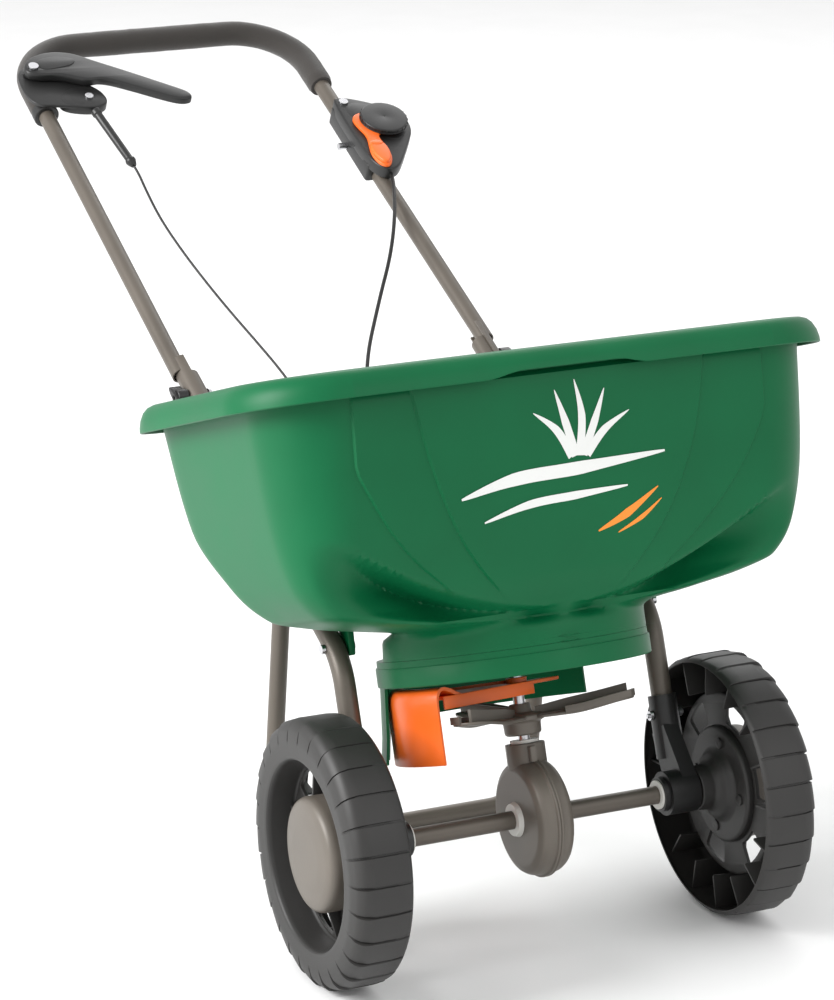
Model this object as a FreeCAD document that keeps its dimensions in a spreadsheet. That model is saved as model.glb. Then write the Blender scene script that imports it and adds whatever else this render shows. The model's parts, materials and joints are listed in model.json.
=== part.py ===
import FreeCAD, Part
import math
import os
import Sketcher
from FreeCAD import Placement, Rotation, Vector

# Push broadcast spreader, parked on its wheels and its stand.  Millimetres, +Z up, -Y is the front.
# The machine is drawn upright about its own axes: X along the axle, Z along the spreading shaft,
# with the origin at the middle of the axle.  PARK then leans the whole machine back onto its stand.

os.makedirs("parts", exist_ok=True)
doc = FreeCAD.newDocument("BroadcastSpreader")
sheet = doc.addObject("Spreadsheet::Sheet", "Sizes")

SIZES = {
    # stance
    "lean_angle": 18.7, "shift_back": -466.57,
    # wheels and axle
    "wheel_radius": 137.0, "wheel_inner": 196.0, "wheel_outer": 257.0, "tread_wall": 4.0,
    "recess_radius": 97.0, "web_place": 222.0, "web_thick": 4.0, "hub_radius": 34.0,
    "window_count": 6, "window_inner": 66.0, "window_spread": 13.0,
    "rib_count": 16, "rib_thick": 2.0, "groove_count": 28,
    "axle_radius": 9.5, "axle_half": 252.0, "running_gap": 0.05, "cap_radius": 59.0,
    # hopper: height, half width, front, rear and corner radius of each level
    "wall": 3.0,
    "brim_level": 452.0, "brim_half": 301.0, "brim_front": 192.0, "brim_rear": 180.0, "brim_corner": 76.0,
    "flank_level": 335.0, "flank_half": 291.0, "flank_front": 178.0, "flank_rear": 152.0,
    "flank_corner": 66.0,
    "belly_level": 272.0, "belly_half": 276.0, "belly_front": 164.0, "belly_rear": 92.0,
    "belly_corner": 56.0,
    "wing_level": 234.0, "wing_half": 248.0, "wing_front": 150.0, "wing_rear": 54.0,
    "wing_corner": 46.0,
    "throat_level": 205.0, "throat_half": 133.0, "throat_front": 134.0, "throat_rear": 54.0,
    "throat_corner": 86.0,
    "floor_level": 178.0, "floor_half": 131.0, "floor_front": 126.0, "floor_rear": 88.0,
    "floor_corner": 98.0,
    "rim_half": 324.0, "rim_front": 212.0, "rim_rear": 200.0, "rim_corner": 96.0,
    "rim_level": 468.0, "skirt_depth": 28.0, "port_radius": 13.0, "port_offset": 44.0,
    # shroud under the hopper
    "band_radius": 139.0, "band_top": 178.0, "band_low": 151.0, "band_step": 170.5, "shroud_wall": 3.0,
    "guard_low": 74.0, "guard_flare": 9.0, "guard_rear_low": 112.0,
    "guard_start": 34.0, "guard_turn": 140.0, "guard_end": 172.0,
    # spreading drive
    "shaft_radius": 6.0, "shaft_low": 22.0, "shaft_high": 206.0, "gear_radius": 61.0,
    "gear_half": 20.5, "gear_wall": 3.0, "neck_radius": 21.0, "neck_high": 76.0,
    "impeller_radius": 118.0, "impeller_level": 98.0, "vane_high": 14.0, "vane_count": 3, "fan_turn": -21.0,
    "shield_radius": 134.0, "shield_wall": 3.0, "shield_low": 70.0, "shield_high": 148.0,
    # tubes
    "frame_radius": 11.1, "frame_side": 176.0, "handle_radius": 9.5, "tube_wall": 1.5,
    "handle_rise": 44.0, "rail_back": 340.0, "rail_up": 487.0, "grip_reach": 640.0,
    "handle_low_side": 184.0, "handle_high_side": 176.0, "handle_bend": 80.0, "foam_radius": 15.0,
    "foam_gap": 0.3, "foam_start": 518.0, "tube_foot": 62.0, "knee_drop": 300.0,
    "scoop_wall": 2.0, "scoop_low": -40.0,
    "bolt_radius": 3.0, "joint_reach": -10.0, "lug_back": 43.0, "lug_up": 199.0,
    "stand_side": 155.2, "stand_back": 181.0, "stand_up": 333.0,
    # shut-off plate
    "lever_across": -180.0, "lever_along": 561.0, "bracket_level": 15.7,
    "dial_across": 206.0, "dial_along": 401.0, "panel_level": 16.0,
    "plate_thick": 2.0, "plate_level": 175.7, "plate_travel": 24.0,
    # cables
    "wire_radius": 1.5, "cable_radius": 2.2,
}
for row, (alias, value) in enumerate(SIZES.items(), start=1):
    sheet.set("A%d" % row, alias)
    sheet.set("B%d" % row, "%g" % value)
    sheet.setAlias("B%d" % row, alias)
doc.recompute()


def size(alias):
    return float(sheet.get(alias))


PARK = Placement(Vector(0, size("shift_back"), size("wheel_radius")),
                 Rotation(Vector(1, 0, 0), -size("lean_angle")))
RISE = math.radians(size("handle_rise"))
ALONG = Vector(0, math.cos(RISE), math.sin(RISE))
HANDLE = PARK.multiply(Placement(Vector(0, size("rail_back"), size("rail_up")),
                                 Rotation(Vector(1, 0, 0), size("handle_rise"))))
made = []


# ---------------------------------------------------------------- helpers

def keep(thing, label, place):
    """Name a finished sub-part, place it and list it for export."""
    thing.Label = label
    thing.Placement = place
    made.append(thing)
    return thing


def new_body(label, place):
    return keep(doc.addObject("PartDesign::Body", label), label, place)


def sketch_on(body, role, name, lift=0.0):
    """A sketch on one of the body's own origin planes, lifted along the plane's normal."""
    drawing = body.newObject("Sketcher::SketchObject", name)
    plane = [item for item in body.Origin.OriginFeatures if item.Role == role][0]
    drawing.AttachmentSupport = [(plane, "")]
    drawing.MapMode = "FlatFace"
    if isinstance(lift, str):
        drawing.setExpression("AttachmentOffset.Base.z", lift)
    else:
        drawing.AttachmentOffset = Placement(Vector(0, 0, lift), Rotation())
    return drawing


def draw_outline(drawing, points):
    """A closed outline of straight lines."""
    count = len(points)
    for index in range(count):
        start = Vector(points[index][0], points[index][1], 0)
        end = Vector(points[(index + 1) % count][0], points[(index + 1) % count][1], 0)
        drawing.addGeometry(Part.LineSegment(start, end), False)
    for index in range(count):
        drawing.addConstraint(Sketcher.Constraint("Coincident", index, 2, (index + 1) % count, 1))


def draw_circle(drawing, across, up, radius):
    """A circle whose radius is a number or a sheet expression."""
    bound = isinstance(radius, str)
    start = 5.0 if bound else radius
    item = drawing.addGeometry(Part.Circle(Vector(across, up, 0), Vector(0, 0, 1), start), False)
    rule = drawing.addConstraint(Sketcher.Constraint("Radius", item, start))
    if bound:
        drawing.setExpression("Constraints[%d]" % rule, radius)
    return item


def draw_rounded(drawing, half, front, rear, corner):
    """A rounded rectangle about the Y axis; the four sizes are sheet expressions."""
    halfway, ahead, behind, turn = [drawing_value(item) for item in (half, front, rear, corner)]
    spots = [(-halfway, -ahead), (halfway, -ahead), (halfway, behind), (-halfway, behind)]
    steps = [(1, 0), (0, 1), (-1, 0), (0, -1)]
    for index in range(4):
        start = spots[index]
        end = spots[(index + 1) % 4]
        across, up = steps[index]
        first = Vector(start[0] + across * turn, start[1] + up * turn, 0)
        last = Vector(end[0] - across * turn, end[1] - up * turn, 0)
        drawing.addGeometry(Part.LineSegment(first, last), False)
        centre = Vector(last.x - up * turn, last.y + across * turn, 0)
        round_corner = Part.Circle(centre, Vector(0, 0, 1), turn)
        begin = math.radians(-90 + 90 * index)
        drawing.addGeometry(Part.ArcOfCircle(round_corner, begin, begin + math.pi / 2), False)
    for index in range(8):
        drawing.addConstraint(Sketcher.Constraint("Tangent", index, 2, (index + 1) % 8, 1))
    for line, rule in ((0, "Horizontal"), (2, "Vertical"), (4, "Horizontal"), (6, "Vertical")):
        drawing.addConstraint(Sketcher.Constraint(rule, line))
    for arc in (3, 5, 7):
        drawing.addConstraint(Sketcher.Constraint("Equal", 1, arc))
    rules = [
        (Sketcher.Constraint("DistanceX", -1, 1, 2, 1, halfway), half),
        (Sketcher.Constraint("DistanceX", 6, 1, -1, 1, halfway), half),
        (Sketcher.Constraint("DistanceY", 0, 1, -1, 1, ahead), front),
        (Sketcher.Constraint("DistanceY", -1, 1, 4, 1, behind), rear),
        (Sketcher.Constraint("Radius", 1, turn), corner),
    ]
    for rule, expression in rules:
        number = drawing.addConstraint(rule)
        drawing.setExpression("Constraints[%d]" % number, expression)


def drawing_value(expression):
    """The present value of a sheet expression such as 'Sizes.wall * 2'."""
    return float(sheet.evalExpression(expression))


def feature(body, kind, name, drawing):
    item = body.newObject(kind, name)
    item.Profile = drawing
    return item


def pad(body, name, drawing, length, both_ways=False, down=False):
    """A pad; the length is a number or a sheet expression."""
    item = feature(body, "PartDesign::Pad", name, drawing)
    set_length(item, length, both_ways, down)
    return item


def pocket(body, name, drawing, length, both_ways=False, down=False):
    item = feature(body, "PartDesign::Pocket", name, drawing)
    set_length(item, length, both_ways, down)
    return item


def set_length(item, length, both_ways, down):
    if isinstance(length, str):
        item.setExpression("Length", length)
    else:
        item.Length = length
    if both_ways:
        item.SideType = "Symmetric"
    item.Reversed = down


def revolve(body, name, drawing, axis):
    item = feature(body, "PartDesign::Revolution", name, drawing)
    item.ReferenceAxis = (drawing, [axis])
    item.Angle = 360.0
    return item


def around(body, name, features, role, count):
    """A polar pattern of features about one of the body's origin axes."""
    item = body.newObject("PartDesign::PolarPattern", name)
    item.Originals = features
    axis = [thing for thing in body.Origin.OriginFeatures if thing.Role == role][0]
    item.Axis = (axis, [""])
    item.Angle = 360.0
    if isinstance(count, str):
        item.setExpression("Occurrences", count)
    else:
        item.Occurrences = count
    body.Tip = item
    return item


def bend_path(points, radii):
    """Edges of a polyline in 3-D whose inner corners are rounded by the given radii."""
    spots = [Vector(*spot) for spot in points]
    edges = []
    start = spots[0]
    for index in range(1, len(spots) - 1):
        back = (spots[index - 1] - spots[index]).normalize()
        ahead = (spots[index + 1] - spots[index]).normalize()
        half = back.getAngle(ahead) / 2.0
        reach = radii[index - 1] / math.tan(half)
        first = spots[index] + back * reach
        last = spots[index] + ahead * reach
        centre = spots[index] + (back + ahead).normalize() * (radii[index - 1] / math.sin(half))
        middle = centre + (spots[index] - centre).normalize() * radii[index - 1]
        edges.append(Part.LineSegment(start, first).toShape())
        edges.append(Part.Arc(first, middle, last).toShape())
        start = last
    edges.append(Part.LineSegment(start, spots[-1]).toShape())
    return edges


def bent_tube(label, place, points, radii, outer, wall):
    """A hollow tube in the body's own XY plane; outer and wall are sheet expressions."""
    body = new_body(label, place)
    path = sketch_on(body, "XY_Plane", label + "_path")
    for edge in bend_path([(spot[0], spot[1], 0) for spot in points], radii):
        path.addGeometry(edge.Curve.trim(*edge.ParameterRange), False)
    heading = Vector(points[1][0] - points[0][0], points[1][1] - points[0][1], 0).normalize()
    ring = body.newObject("Sketcher::SketchObject", label + "_ring")
    turn = Rotation(Vector(0, 0, 1), heading)
    ring.AttachmentSupport = [([item for item in body.Origin.OriginFeatures
                                if item.Role == "XY_Plane"][0], "")]
    ring.MapMode = "FlatFace"
    ring.AttachmentOffset = Placement(Vector(points[0][0], points[0][1], 0), turn)
    draw_circle(ring, 0, 0, outer)
    if wall:
        draw_circle(ring, 0, 0, outer + " - " + wall)
    doc.recompute()
    pipe = feature(body, "PartDesign::AdditivePipe", label + "_pipe", ring)
    pipe.Spine = (path, ["Edge%d" % (number + 1) for number in range(len(path.Geometry))])
    pipe.Mode = "Frenet"
    pipe.Transition = "Transformed"
    doc.recompute()
    return body


def turned(label, place, outline, role="XZ_Plane", axis="H_Axis"):
    """A piece turned about X (sketch across) or Z (sketch up)."""
    body = new_body(label, place)
    drawing = sketch_on(body, role, label + "_outline")
    draw_outline(drawing, outline)
    revolve(body, label + "_turn", drawing, axis)
    return body


def rod(label, place, radius, length):
    """A plain cylinder along its own Z from its place; sizes are expressions or numbers."""
    item = doc.addObject("Part::Cylinder", label)
    for name, value in (("Radius", radius), ("Height", length)):
        if isinstance(value, str):
            item.setExpression(name, value)
        else:
            setattr(item, name, value)
    return keep(item, label, place)


def at(spot, axis=Vector(0, 0, 1)):
    """A placement whose own Z points along the axis."""
    return Placement(Vector(*spot), Rotation(Vector(0, 0, 1), Vector(*axis)))


def fixed_shape(label, shape, place=PARK):
    """A sub-part whose shape comes from Part's own functions."""
    item = doc.addObject("Part::Feature", label)
    item.Shape = shape
    return keep(item, label, place)


def solid_rod(spot, axis, radius, length):
    return Part.makeCylinder(radius, length, Vector(*spot), Vector(*axis))


def slab(points, thick, lift=0.0):
    """A flat plate from straight-sided points in the XY plane."""
    ring = Part.makePolygon([Vector(x, y, lift) for x, y in points + points[:1]])
    return Part.Face(ring).extrude(Vector(0, 0, thick))


def half_turn(place):
    return place.multiply(Placement(Vector(), Rotation(Vector(0, 0, 1), 180)))


# ---------------------------------------------------------------- hopper

LEVELS = ["brim", "flank", "belly", "wing", "throat", "floor"]


def hopper():
    """A tapered tub with a turned-down rim, three outlet ports and two tube lugs."""
    body = new_body("hopper", PARK)
    outer = []
    inner = []
    for name in LEVELS:
        expressions = ["Sizes.%s_%s" % (name, part) for part in ("half", "front", "rear", "corner")]
        drawing = sketch_on(body, "XY_Plane", name + "_outer", "Sizes.%s_level" % name)
        draw_rounded(drawing, *expressions)
        outer.append(drawing)
    doc.recompute()
    tub = feature(body, "PartDesign::AdditiveLoft", "tub", outer[0])
    tub.Sections = outer[1:]
    tub.Ruled = True
    doc.recompute()
    drawing = sketch_on(body, "XY_Plane", "rim_outline", "Sizes.rim_level - Sizes.skirt_depth")
    draw_rounded(drawing, "Sizes.rim_half", "Sizes.rim_front", "Sizes.rim_rear", "Sizes.rim_corner")
    pad(body, "rim", drawing, "Sizes.skirt_depth")
    drawing = sketch_on(body, "XY_Plane", "rim_under", "Sizes.rim_level - Sizes.skirt_depth")
    draw_rounded(drawing, "Sizes.rim_half - Sizes.wall", "Sizes.rim_front - Sizes.wall",
                 "Sizes.rim_rear - Sizes.wall", "Sizes.rim_corner - Sizes.wall")
    draw_rounded_hole(drawing, "Sizes.brim_half", "Sizes.brim_front", "Sizes.brim_rear",
                      "Sizes.brim_corner")
    pocket(body, "skirt", drawing, "Sizes.skirt_depth - Sizes.wall", down=True)
    doc.recompute()
    for name in LEVELS:
        expressions = ["Sizes.%s_%s - Sizes.wall" % (name, part)
                       for part in ("half", "front", "rear", "corner")]
        lift = "Sizes.%s_level" % name
        if name == "floor":
            lift += " + Sizes.wall"
        drawing = sketch_on(body, "XY_Plane", name + "_inner", lift)
        draw_rounded(drawing, *expressions)
        inner.append(drawing)
    doc.recompute()
    bowl = feature(body, "PartDesign::SubtractiveLoft", "bowl", inner[0])
    bowl.Sections = inner[1:]
    bowl.Ruled = True
    mouth = sketch_on(body, "XY_Plane", "mouth", "Sizes.brim_level")
    draw_rounded(mouth, *["Sizes.brim_%s - Sizes.wall" % part
                          for part in ("half", "front", "rear", "corner")])
    pocket(body, "mouth_cut", mouth, 40.0, down=True)
    ports = sketch_on(body, "XY_Plane", "ports", "Sizes.floor_level")
    draw_circle(ports, 0, 0, "Sizes.shaft_radius + 1.5")
    for angle in (205, 270, 335):
        reach = size("port_offset")
        draw_circle(ports, reach * math.cos(math.radians(angle)), reach * math.sin(math.radians(angle)),
                    "Sizes.port_radius")
    pocket(body, "port_cut", ports, 8.0, both_ways=True)
    back, up = lug_spot()
    near = size("frame_side") - size("frame_radius")
    for side, label in ((-1, "left"), (1, "right")):
        lug = sketch_on(body, "YZ_Plane", "lug_" + label, side * (near - 3.5))
        draw_outline(lug, [(back - 11, up - 10), (back + 10, up - 10),
                           (back + 10, up + 18), (back - 14, up + 18)])
        draw_circle(lug, back, up, "Sizes.bolt_radius + Sizes.running_gap")
        pad(body, "lug_pad_" + label, lug, 6.8, both_ways=True)
    return body


def draw_rounded_hole(drawing, half, front, rear, corner):
    """A second rounded rectangle inside one that is already drawn."""
    halfway, ahead, behind, turn = [drawing_value(item) for item in (half, front, rear, corner)]
    rails = [((-halfway + turn, -ahead), (halfway - turn, -ahead)),
             ((halfway, -ahead + turn), (halfway, behind - turn)),
             ((halfway - turn, behind), (-halfway + turn, behind)),
             ((-halfway, behind - turn), (-halfway, -ahead + turn))]
    hubs = [(halfway - turn, -ahead + turn), (halfway - turn, behind - turn),
            (-halfway + turn, behind - turn), (-halfway + turn, -ahead + turn)]
    for index in range(4):
        first, last = rails[index]
        drawing.addGeometry(Part.LineSegment(Vector(first[0], first[1], 0),
                                             Vector(last[0], last[1], 0)), False)
        ring = Part.Circle(Vector(hubs[index][0], hubs[index][1], 0), Vector(0, 0, 1), turn)
        begin = math.radians(-90 + 90 * index)
        drawing.addGeometry(Part.ArcOfCircle(ring, begin, begin + math.pi / 2), False)


def arc_wall(outer, wall, low, high, start, end):
    """A wall along part of a circle about Z, angles in degrees from +X."""
    ring = Part.makeCylinder(outer, high - low, Vector(0, 0, low), Vector(0, 0, 1), end - start)
    ring.rotate(Vector(), Vector(0, 0, 1), start)
    return ring.cut(Part.makeCylinder(outer - wall, high - low + 2, Vector(0, 0, low - 1)))


def flared_wall(outer, wall, low, high, start, end):
    """A wall along part of a cone about Z that is wider at its lower edge."""
    flare = size("guard_flare")
    turn = end - start
    ring = Part.makeCone(outer + flare, outer, high - low, Vector(0, 0, low), Vector(0, 0, 1), turn)
    core = Part.makeCone(outer + flare - wall, outer - wall, high - low, Vector(0, 0, low),
                         Vector(0, 0, 1), 360)
    ring.rotate(Vector(), Vector(0, 0, 1), start)
    return ring.cut(core)


def shroud():
    """The two-step band under the tub, with the guard wall that closes the rear of the fan."""
    top = size("band_top")
    low = size("band_low")
    wall = size("shroud_wall")
    radius = size("band_radius")
    step = size("band_step")
    body = arc_wall(radius, wall, low, top - 0.1, 0, 360)
    body = body.fuse(arc_wall(radius + 1.5, wall, low, step, 0, 360))
    turn = size("guard_turn")
    guard = arc_wall(radius - 0.5, wall, size("guard_rear_low"), low + 4, size("guard_start"), turn + 2)
    guard = guard.fuse(flared_wall(radius - 0.5, wall, size("guard_low"), low + 4, turn, size("guard_end")))
    lid = Part.makeCylinder(radius - 1, 3, Vector(0, 0, top - 3.1))
    lid = lid.cut(Part.makeBox(160, 198, 9, Vector(-80, -70, top - 6)))
    lips = [Part.makeBox(12, 120, 2.6, Vector(side * 78 - 6, -60, top - 5.4)) for side in (-1, 1)]
    return fixed_shape("shroud", body.fuse([guard, lid] + lips).removeSplitter())


# ---------------------------------------------------------------- tubes

def frame_tube(side):
    """One lower frame tube, from the axle bracket up behind the tub to the handle joint."""
    name = "frame_tube_" + ("left" if side < 0 else "right")
    upright = Placement(Vector(side * size("frame_side"), 0, 0),
                        Rotation(Vector(0, 1, 0), Vector(0, 0, 1), Vector(1, 0, 0), "XYZ"))
    top = (size("rail_back") + 20 * ALONG.y, size("rail_up") + 20 * ALONG.z)
    foot, knee = tube_ends()
    body = bent_tube(name, PARK.multiply(upright), [foot, knee, top], [70.0],
                     "Sizes.frame_radius", "Sizes.tube_wall")
    holes = sketch_on(body, "XY_Plane", name + "_holes")
    for spot in (joint_spot(), (size("stand_back"), size("stand_up")), lug_spot(), (foot[0], 80)):
        draw_circle(holes, spot[0], spot[1], "Sizes.bolt_radius + Sizes.running_gap")
    pocket(body, name + "_drill", holes, 60.0, both_ways=True)
    return body


def tube_ends():
    """The foot of a frame tube and the corner of its bend, as (back, up)."""
    drop = size("knee_drop")
    knee = (size("rail_back") - drop / math.tan(RISE), size("rail_up") - drop)
    return (knee[0] - 4, size("tube_foot")), knee


def joint_spot():
    """Where the bolt of the handle joint crosses the tube, as (back, up)."""
    reach = size("joint_reach")
    return (size("rail_back") + reach * ALONG.y, size("rail_up") + reach * ALONG.z)


def lug_spot():
    """Where the tub's lug is bolted to the tube, as (back, up)."""
    return (size("lug_back"), size("lug_up"))


def stand():
    """The U-shaped parking stand; its foot lies on the ground."""
    lean = math.radians(size("lean_angle"))
    side = size("stand_side")
    top = Vector(0, size("stand_back"), size("stand_up"))
    ground = size("handle_radius") - size("wheel_radius")
    back = 331.0
    foot = Vector(0, back * math.cos(lean) - ground * math.sin(lean),
                  back * math.sin(lean) + ground * math.cos(lean))
    down = (top - foot)
    own = Placement(foot, Rotation(Vector(1, 0, 0), math.degrees(math.atan2(down.z, down.y))))
    reach = down.Length
    points = [(-side, reach + 14), (-side, 0), (side, 0), (side, reach + 14)]
    body = bent_tube("stand", PARK.multiply(own), points, [45.0, 45.0],
                     "Sizes.handle_radius", "Sizes.tube_wall")
    holes = sketch_on(body, "YZ_Plane", "stand_holes")
    draw_circle(holes, reach, 0, "Sizes.bolt_radius + Sizes.running_gap")
    pocket(body, "stand_drill", holes, 400.0, both_ways=True)
    return body


def handle():
    """The upper handle: a U of tube whose scooped ends lie on the frame tubes."""
    low = size("handle_low_side")
    high = size("handle_high_side")
    reach = size("grip_reach")
    points = [(-low, 24), (-high, reach), (high, reach), (low, 24)]
    bend = size("handle_bend")
    body = bent_tube("handle", HANDLE, points, [bend, bend], "Sizes.handle_radius", "Sizes.tube_wall")
    inner = size("frame_radius") + size("running_gap")
    outer = inner + size("scoop_wall")
    scoops = sketch_on(body, "XZ_Plane", "scoop_outline", -44.0)
    for side in (-1, 1):
        half_ring(scoops, side * size("frame_side"), inner, outer, side)
    pad(body, "scoops", scoops, "44 - Sizes.scoop_low")
    holes = sketch_on(body, "YZ_Plane", "scoop_holes")
    draw_circle(holes, size("joint_reach"), 0, "Sizes.bolt_radius + Sizes.running_gap")
    pocket(body, "scoop_drill", holes, 460.0, both_ways=True)
    return body


def half_ring(drawing, across, inner, outer, side):
    """Half a ring, open towards the middle of the machine."""
    centre = Vector(across, 0, 0)
    start = -math.pi / 2 if side > 0 else math.pi / 2
    for radius in (inner, outer):
        ring = Part.Circle(centre, Vector(0, 0, 1), radius)
        drawing.addGeometry(Part.ArcOfCircle(ring, start, start + math.pi), False)
    for up in (-1, 1):
        drawing.addGeometry(Part.LineSegment(Vector(across, up * inner, 0),
                                             Vector(across, up * outer, 0)), False)


def foam_grip():
    """The foam sleeve over the cross bar and both bends."""
    high = size("handle_high_side")
    reach = size("grip_reach")
    start = size("foam_start")
    drift = (size("handle_low_side") - high) * (reach - start) / (reach - 24.0)
    points = [(-high - drift, start), (-high, reach), (high, reach), (high + drift, start)]
    bend = size("handle_bend")
    body = new_body("foam_grip", HANDLE)
    path = sketch_on(body, "XY_Plane", "foam_path")
    for edge in bend_path([(spot[0], spot[1], 0) for spot in points], [bend, bend]):
        path.addGeometry(edge.Curve.trim(*edge.ParameterRange), False)
    ring = sketch_on(body, "XY_Plane", "foam_ring")
    heading = Vector(points[1][0] - points[0][0], points[1][1] - points[0][1], 0).normalize()
    ring.AttachmentOffset = Placement(Vector(points[0][0], points[0][1], 0),
                                      Rotation(Vector(0, 0, 1), heading))
    draw_circle(ring, 0, 0, "Sizes.foam_radius")
    draw_circle(ring, 0, 0, "Sizes.handle_radius + Sizes.foam_gap")
    doc.recompute()
    pipe = feature(body, "PartDesign::AdditivePipe", "foam_pipe", ring)
    pipe.Spine = (path, ["Edge%d" % (number + 1) for number in range(len(path.Geometry))])
    pipe.Mode = "Frenet"
    doc.recompute()
    return body


# ---------------------------------------------------------------- wheels and axle

def wheel(name, place, bore):
    """A moulded wheel: ribbed open back, deep recess with windows, grooved tread."""
    radius = size("wheel_radius")
    near = size("wheel_inner")
    far = size("wheel_outer")
    skin = size("tread_wall")
    recess = size("recess_radius")
    web = size("web_place")
    thick = size("web_thick")
    hub = size("hub_radius")
    outline = [(near, radius - 6), (near + 4, radius - 1.5), (near + 16, radius), (far - 17, radius),
               (far - 8, radius - 2.5), (far - 2.5, radius - 9), (far, radius - 21), (far - 1, recess + 1),
               (far - 5, recess - 1), (web + thick + 2, recess - 4), (web + thick, recess - 6),
               (web + thick, hub), (far - 9, hub - 3), (far - 9, bore), (184, bore), (184, 20),
               (web - 6, 24), (web, hub), (web, recess - 2), (web + 2, recess), (far - 9, recess + 3),
               (far - 6, radius - 22), (far - 9, radius - 12), (far - 17, radius - skin),
               (near + 16, radius - skin), (near + 4, radius - skin - 1), (near + 1, radius - skin - 3)]
    body = new_body(name, place)
    drawing = sketch_on(body, "XZ_Plane", name + "_outline")
    draw_outline(drawing, outline)
    revolve(body, name + "_turn", drawing, "H_Axis")
    doc.recompute()
    window = sketch_on(body, "YZ_Plane", name + "_window", web - 4)
    spread = size("window_spread")
    draw_outline(window, ring_sector(size("window_inner"), recess - 8, -spread, spread))
    cut = pocket(body, name + "_window_cut", window, 12.0, down=True)
    around(body, name + "_windows", [cut], "X_Axis", "Sizes.window_count")
    rib = sketch_on(body, "XY_Plane", name + "_rib")
    draw_outline(rib, [(near + 6, recess - 1), (far - 9, recess + 1), (far - 8, radius - 14),
                       (far - 17, radius - 2), (near + 10, radius - 2)])
    fin = pad(body, name + "_rib_pad", rib, "Sizes.rib_thick", both_ways=True)
    around(body, name + "_ribs", [fin], "X_Axis", "Sizes.rib_count")
    groove = sketch_on(body, "XZ_Plane", name + "_groove", 0.0)
    draw_outline(groove, [(near - 2, radius - 1.6), (far - 15, radius - 1.6), (far - 12, radius + 4),
                          (near - 2, radius + 4)])
    slot = pocket(body, name + "_groove_cut", groove, 2.4, both_ways=True)
    around(body, name + "_grooves", [slot], "X_Axis", "Sizes.groove_count")
    doc.recompute()
    return body


def ring_sector(inner, outer, start, end, steps=4):
    """A piece of a flat ring as straight-sided points, angles in degrees."""
    angles = [math.radians(start + (end - start) * step / steps) for step in range(steps + 1)]
    rise = [(inner * math.cos(angle), inner * math.sin(angle)) for angle in angles]
    back = [(outer * math.cos(angle), outer * math.sin(angle)) for angle in reversed(angles)]
    return rise + back


def hub_cap(name, place):
    """The domed cap in the wheel's recess."""
    seat = size("web_place") + size("web_thick") + 0.3
    radius = size("cap_radius")
    outer = [(seat, radius), (seat + 18, radius), (seat + 24, radius - 3), (seat + 27, radius - 10),
             (seat + 29, radius - 26), (seat + 29.5, 0)]
    inner = [(across - 2.5, max(up - 2.5, 0)) for across, up in reversed(outer[1:])]
    inner.append((seat, radius - 2.5))
    return turned(name, place, outer + inner)


def axle():
    half = "2 * Sizes.axle_half"
    rod("axle", PARK.multiply(at((-size("axle_half"), 0, 0), (1, 0, 0))), "Sizes.axle_radius", half)
    radius = size("axle_radius")
    for side, label in ((-1, "left"), (1, "right")):
        start = size("wheel_outer") - 8.6
        outline = [(start, radius), (start, 17), (start + 1.6, 17), (start + 2.4, radius)]
        place = half_turn(PARK) if side < 0 else PARK
        turned("push_nut_" + label, place, outline)


def axle_bracket(side):
    """The moulded bracket that joins a frame tube to the axle, and its bushing."""
    label = "left" if side < 0 else "right"
    across = size("frame_side")
    foot, knee = tube_ends()
    tube_back = foot[0]
    rise = Vector(0, knee[0] - foot[0], knee[1] - foot[1]).normalize()
    seat = size("frame_radius") + size("running_gap")
    low = Vector(across, tube_back, foot[1]) - rise * 28
    socket = Part.makeCylinder(15.0, 66, low, rise)
    hub = solid_rod((149, 0, 0), (1, 0, 0), 23.0, 33)
    collar = solid_rod((143, 0, 0), (1, 0, 0), 18.0, 8)
    web = [Vector(across - 11, -20, 10), Vector(across - 11, -4, -20), Vector(across - 11, 22, -6),
           Vector(across - 11, tube_back + 14, 60), Vector(across - 11, tube_back - 14, 70)]
    plate = Part.Face(Part.makePolygon(web + web[:1])).extrude(Vector(17, 0, 0))
    body = socket.fuse([hub, collar, plate])
    body = body.cut(Part.makeCylinder(seat, 60, low + rise * 27.8, rise))
    body = body.cut(solid_rod((130, 0, 0), (1, 0, 0), 12.5, 60))
    body = body.cut(solid_rod((across - 40, tube_back, 80), (1, 0, 0), 2.6, 80))
    mirrored = body if side > 0 else body.mirror(Vector(), Vector(1, 0, 0))
    fixed_shape("axle_bracket_" + label, mirrored)
    radius = size("axle_radius") + size("running_gap")
    sleeve = [(140.5, radius), (140.5, 15.0), (142.9, 15.0), (142.9, 12.5), (182, 12.5), (182, radius)]
    turned("axle_bushing_" + label, half_turn(PARK) if side < 0 else PARK, sleeve)
    screw = solid_rod((across - 21, tube_back, 80), (1, 0, 0), 2.5, 42)
    head = solid_rod((across - 18.5, tube_back, 80), (1, 0, 0), 5.0, 3.4)
    nut = solid_rod((across + 15.1, tube_back, 80), (1, 0, 0), 5.0, 3.6)
    shape = screw.fuse([head, nut])
    fixed_shape("bracket_screw_" + label, shape if side > 0 else shape.mirror(Vector(), Vector(1, 0, 0)))


# ---------------------------------------------------------------- gearbox and spreading drive

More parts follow.
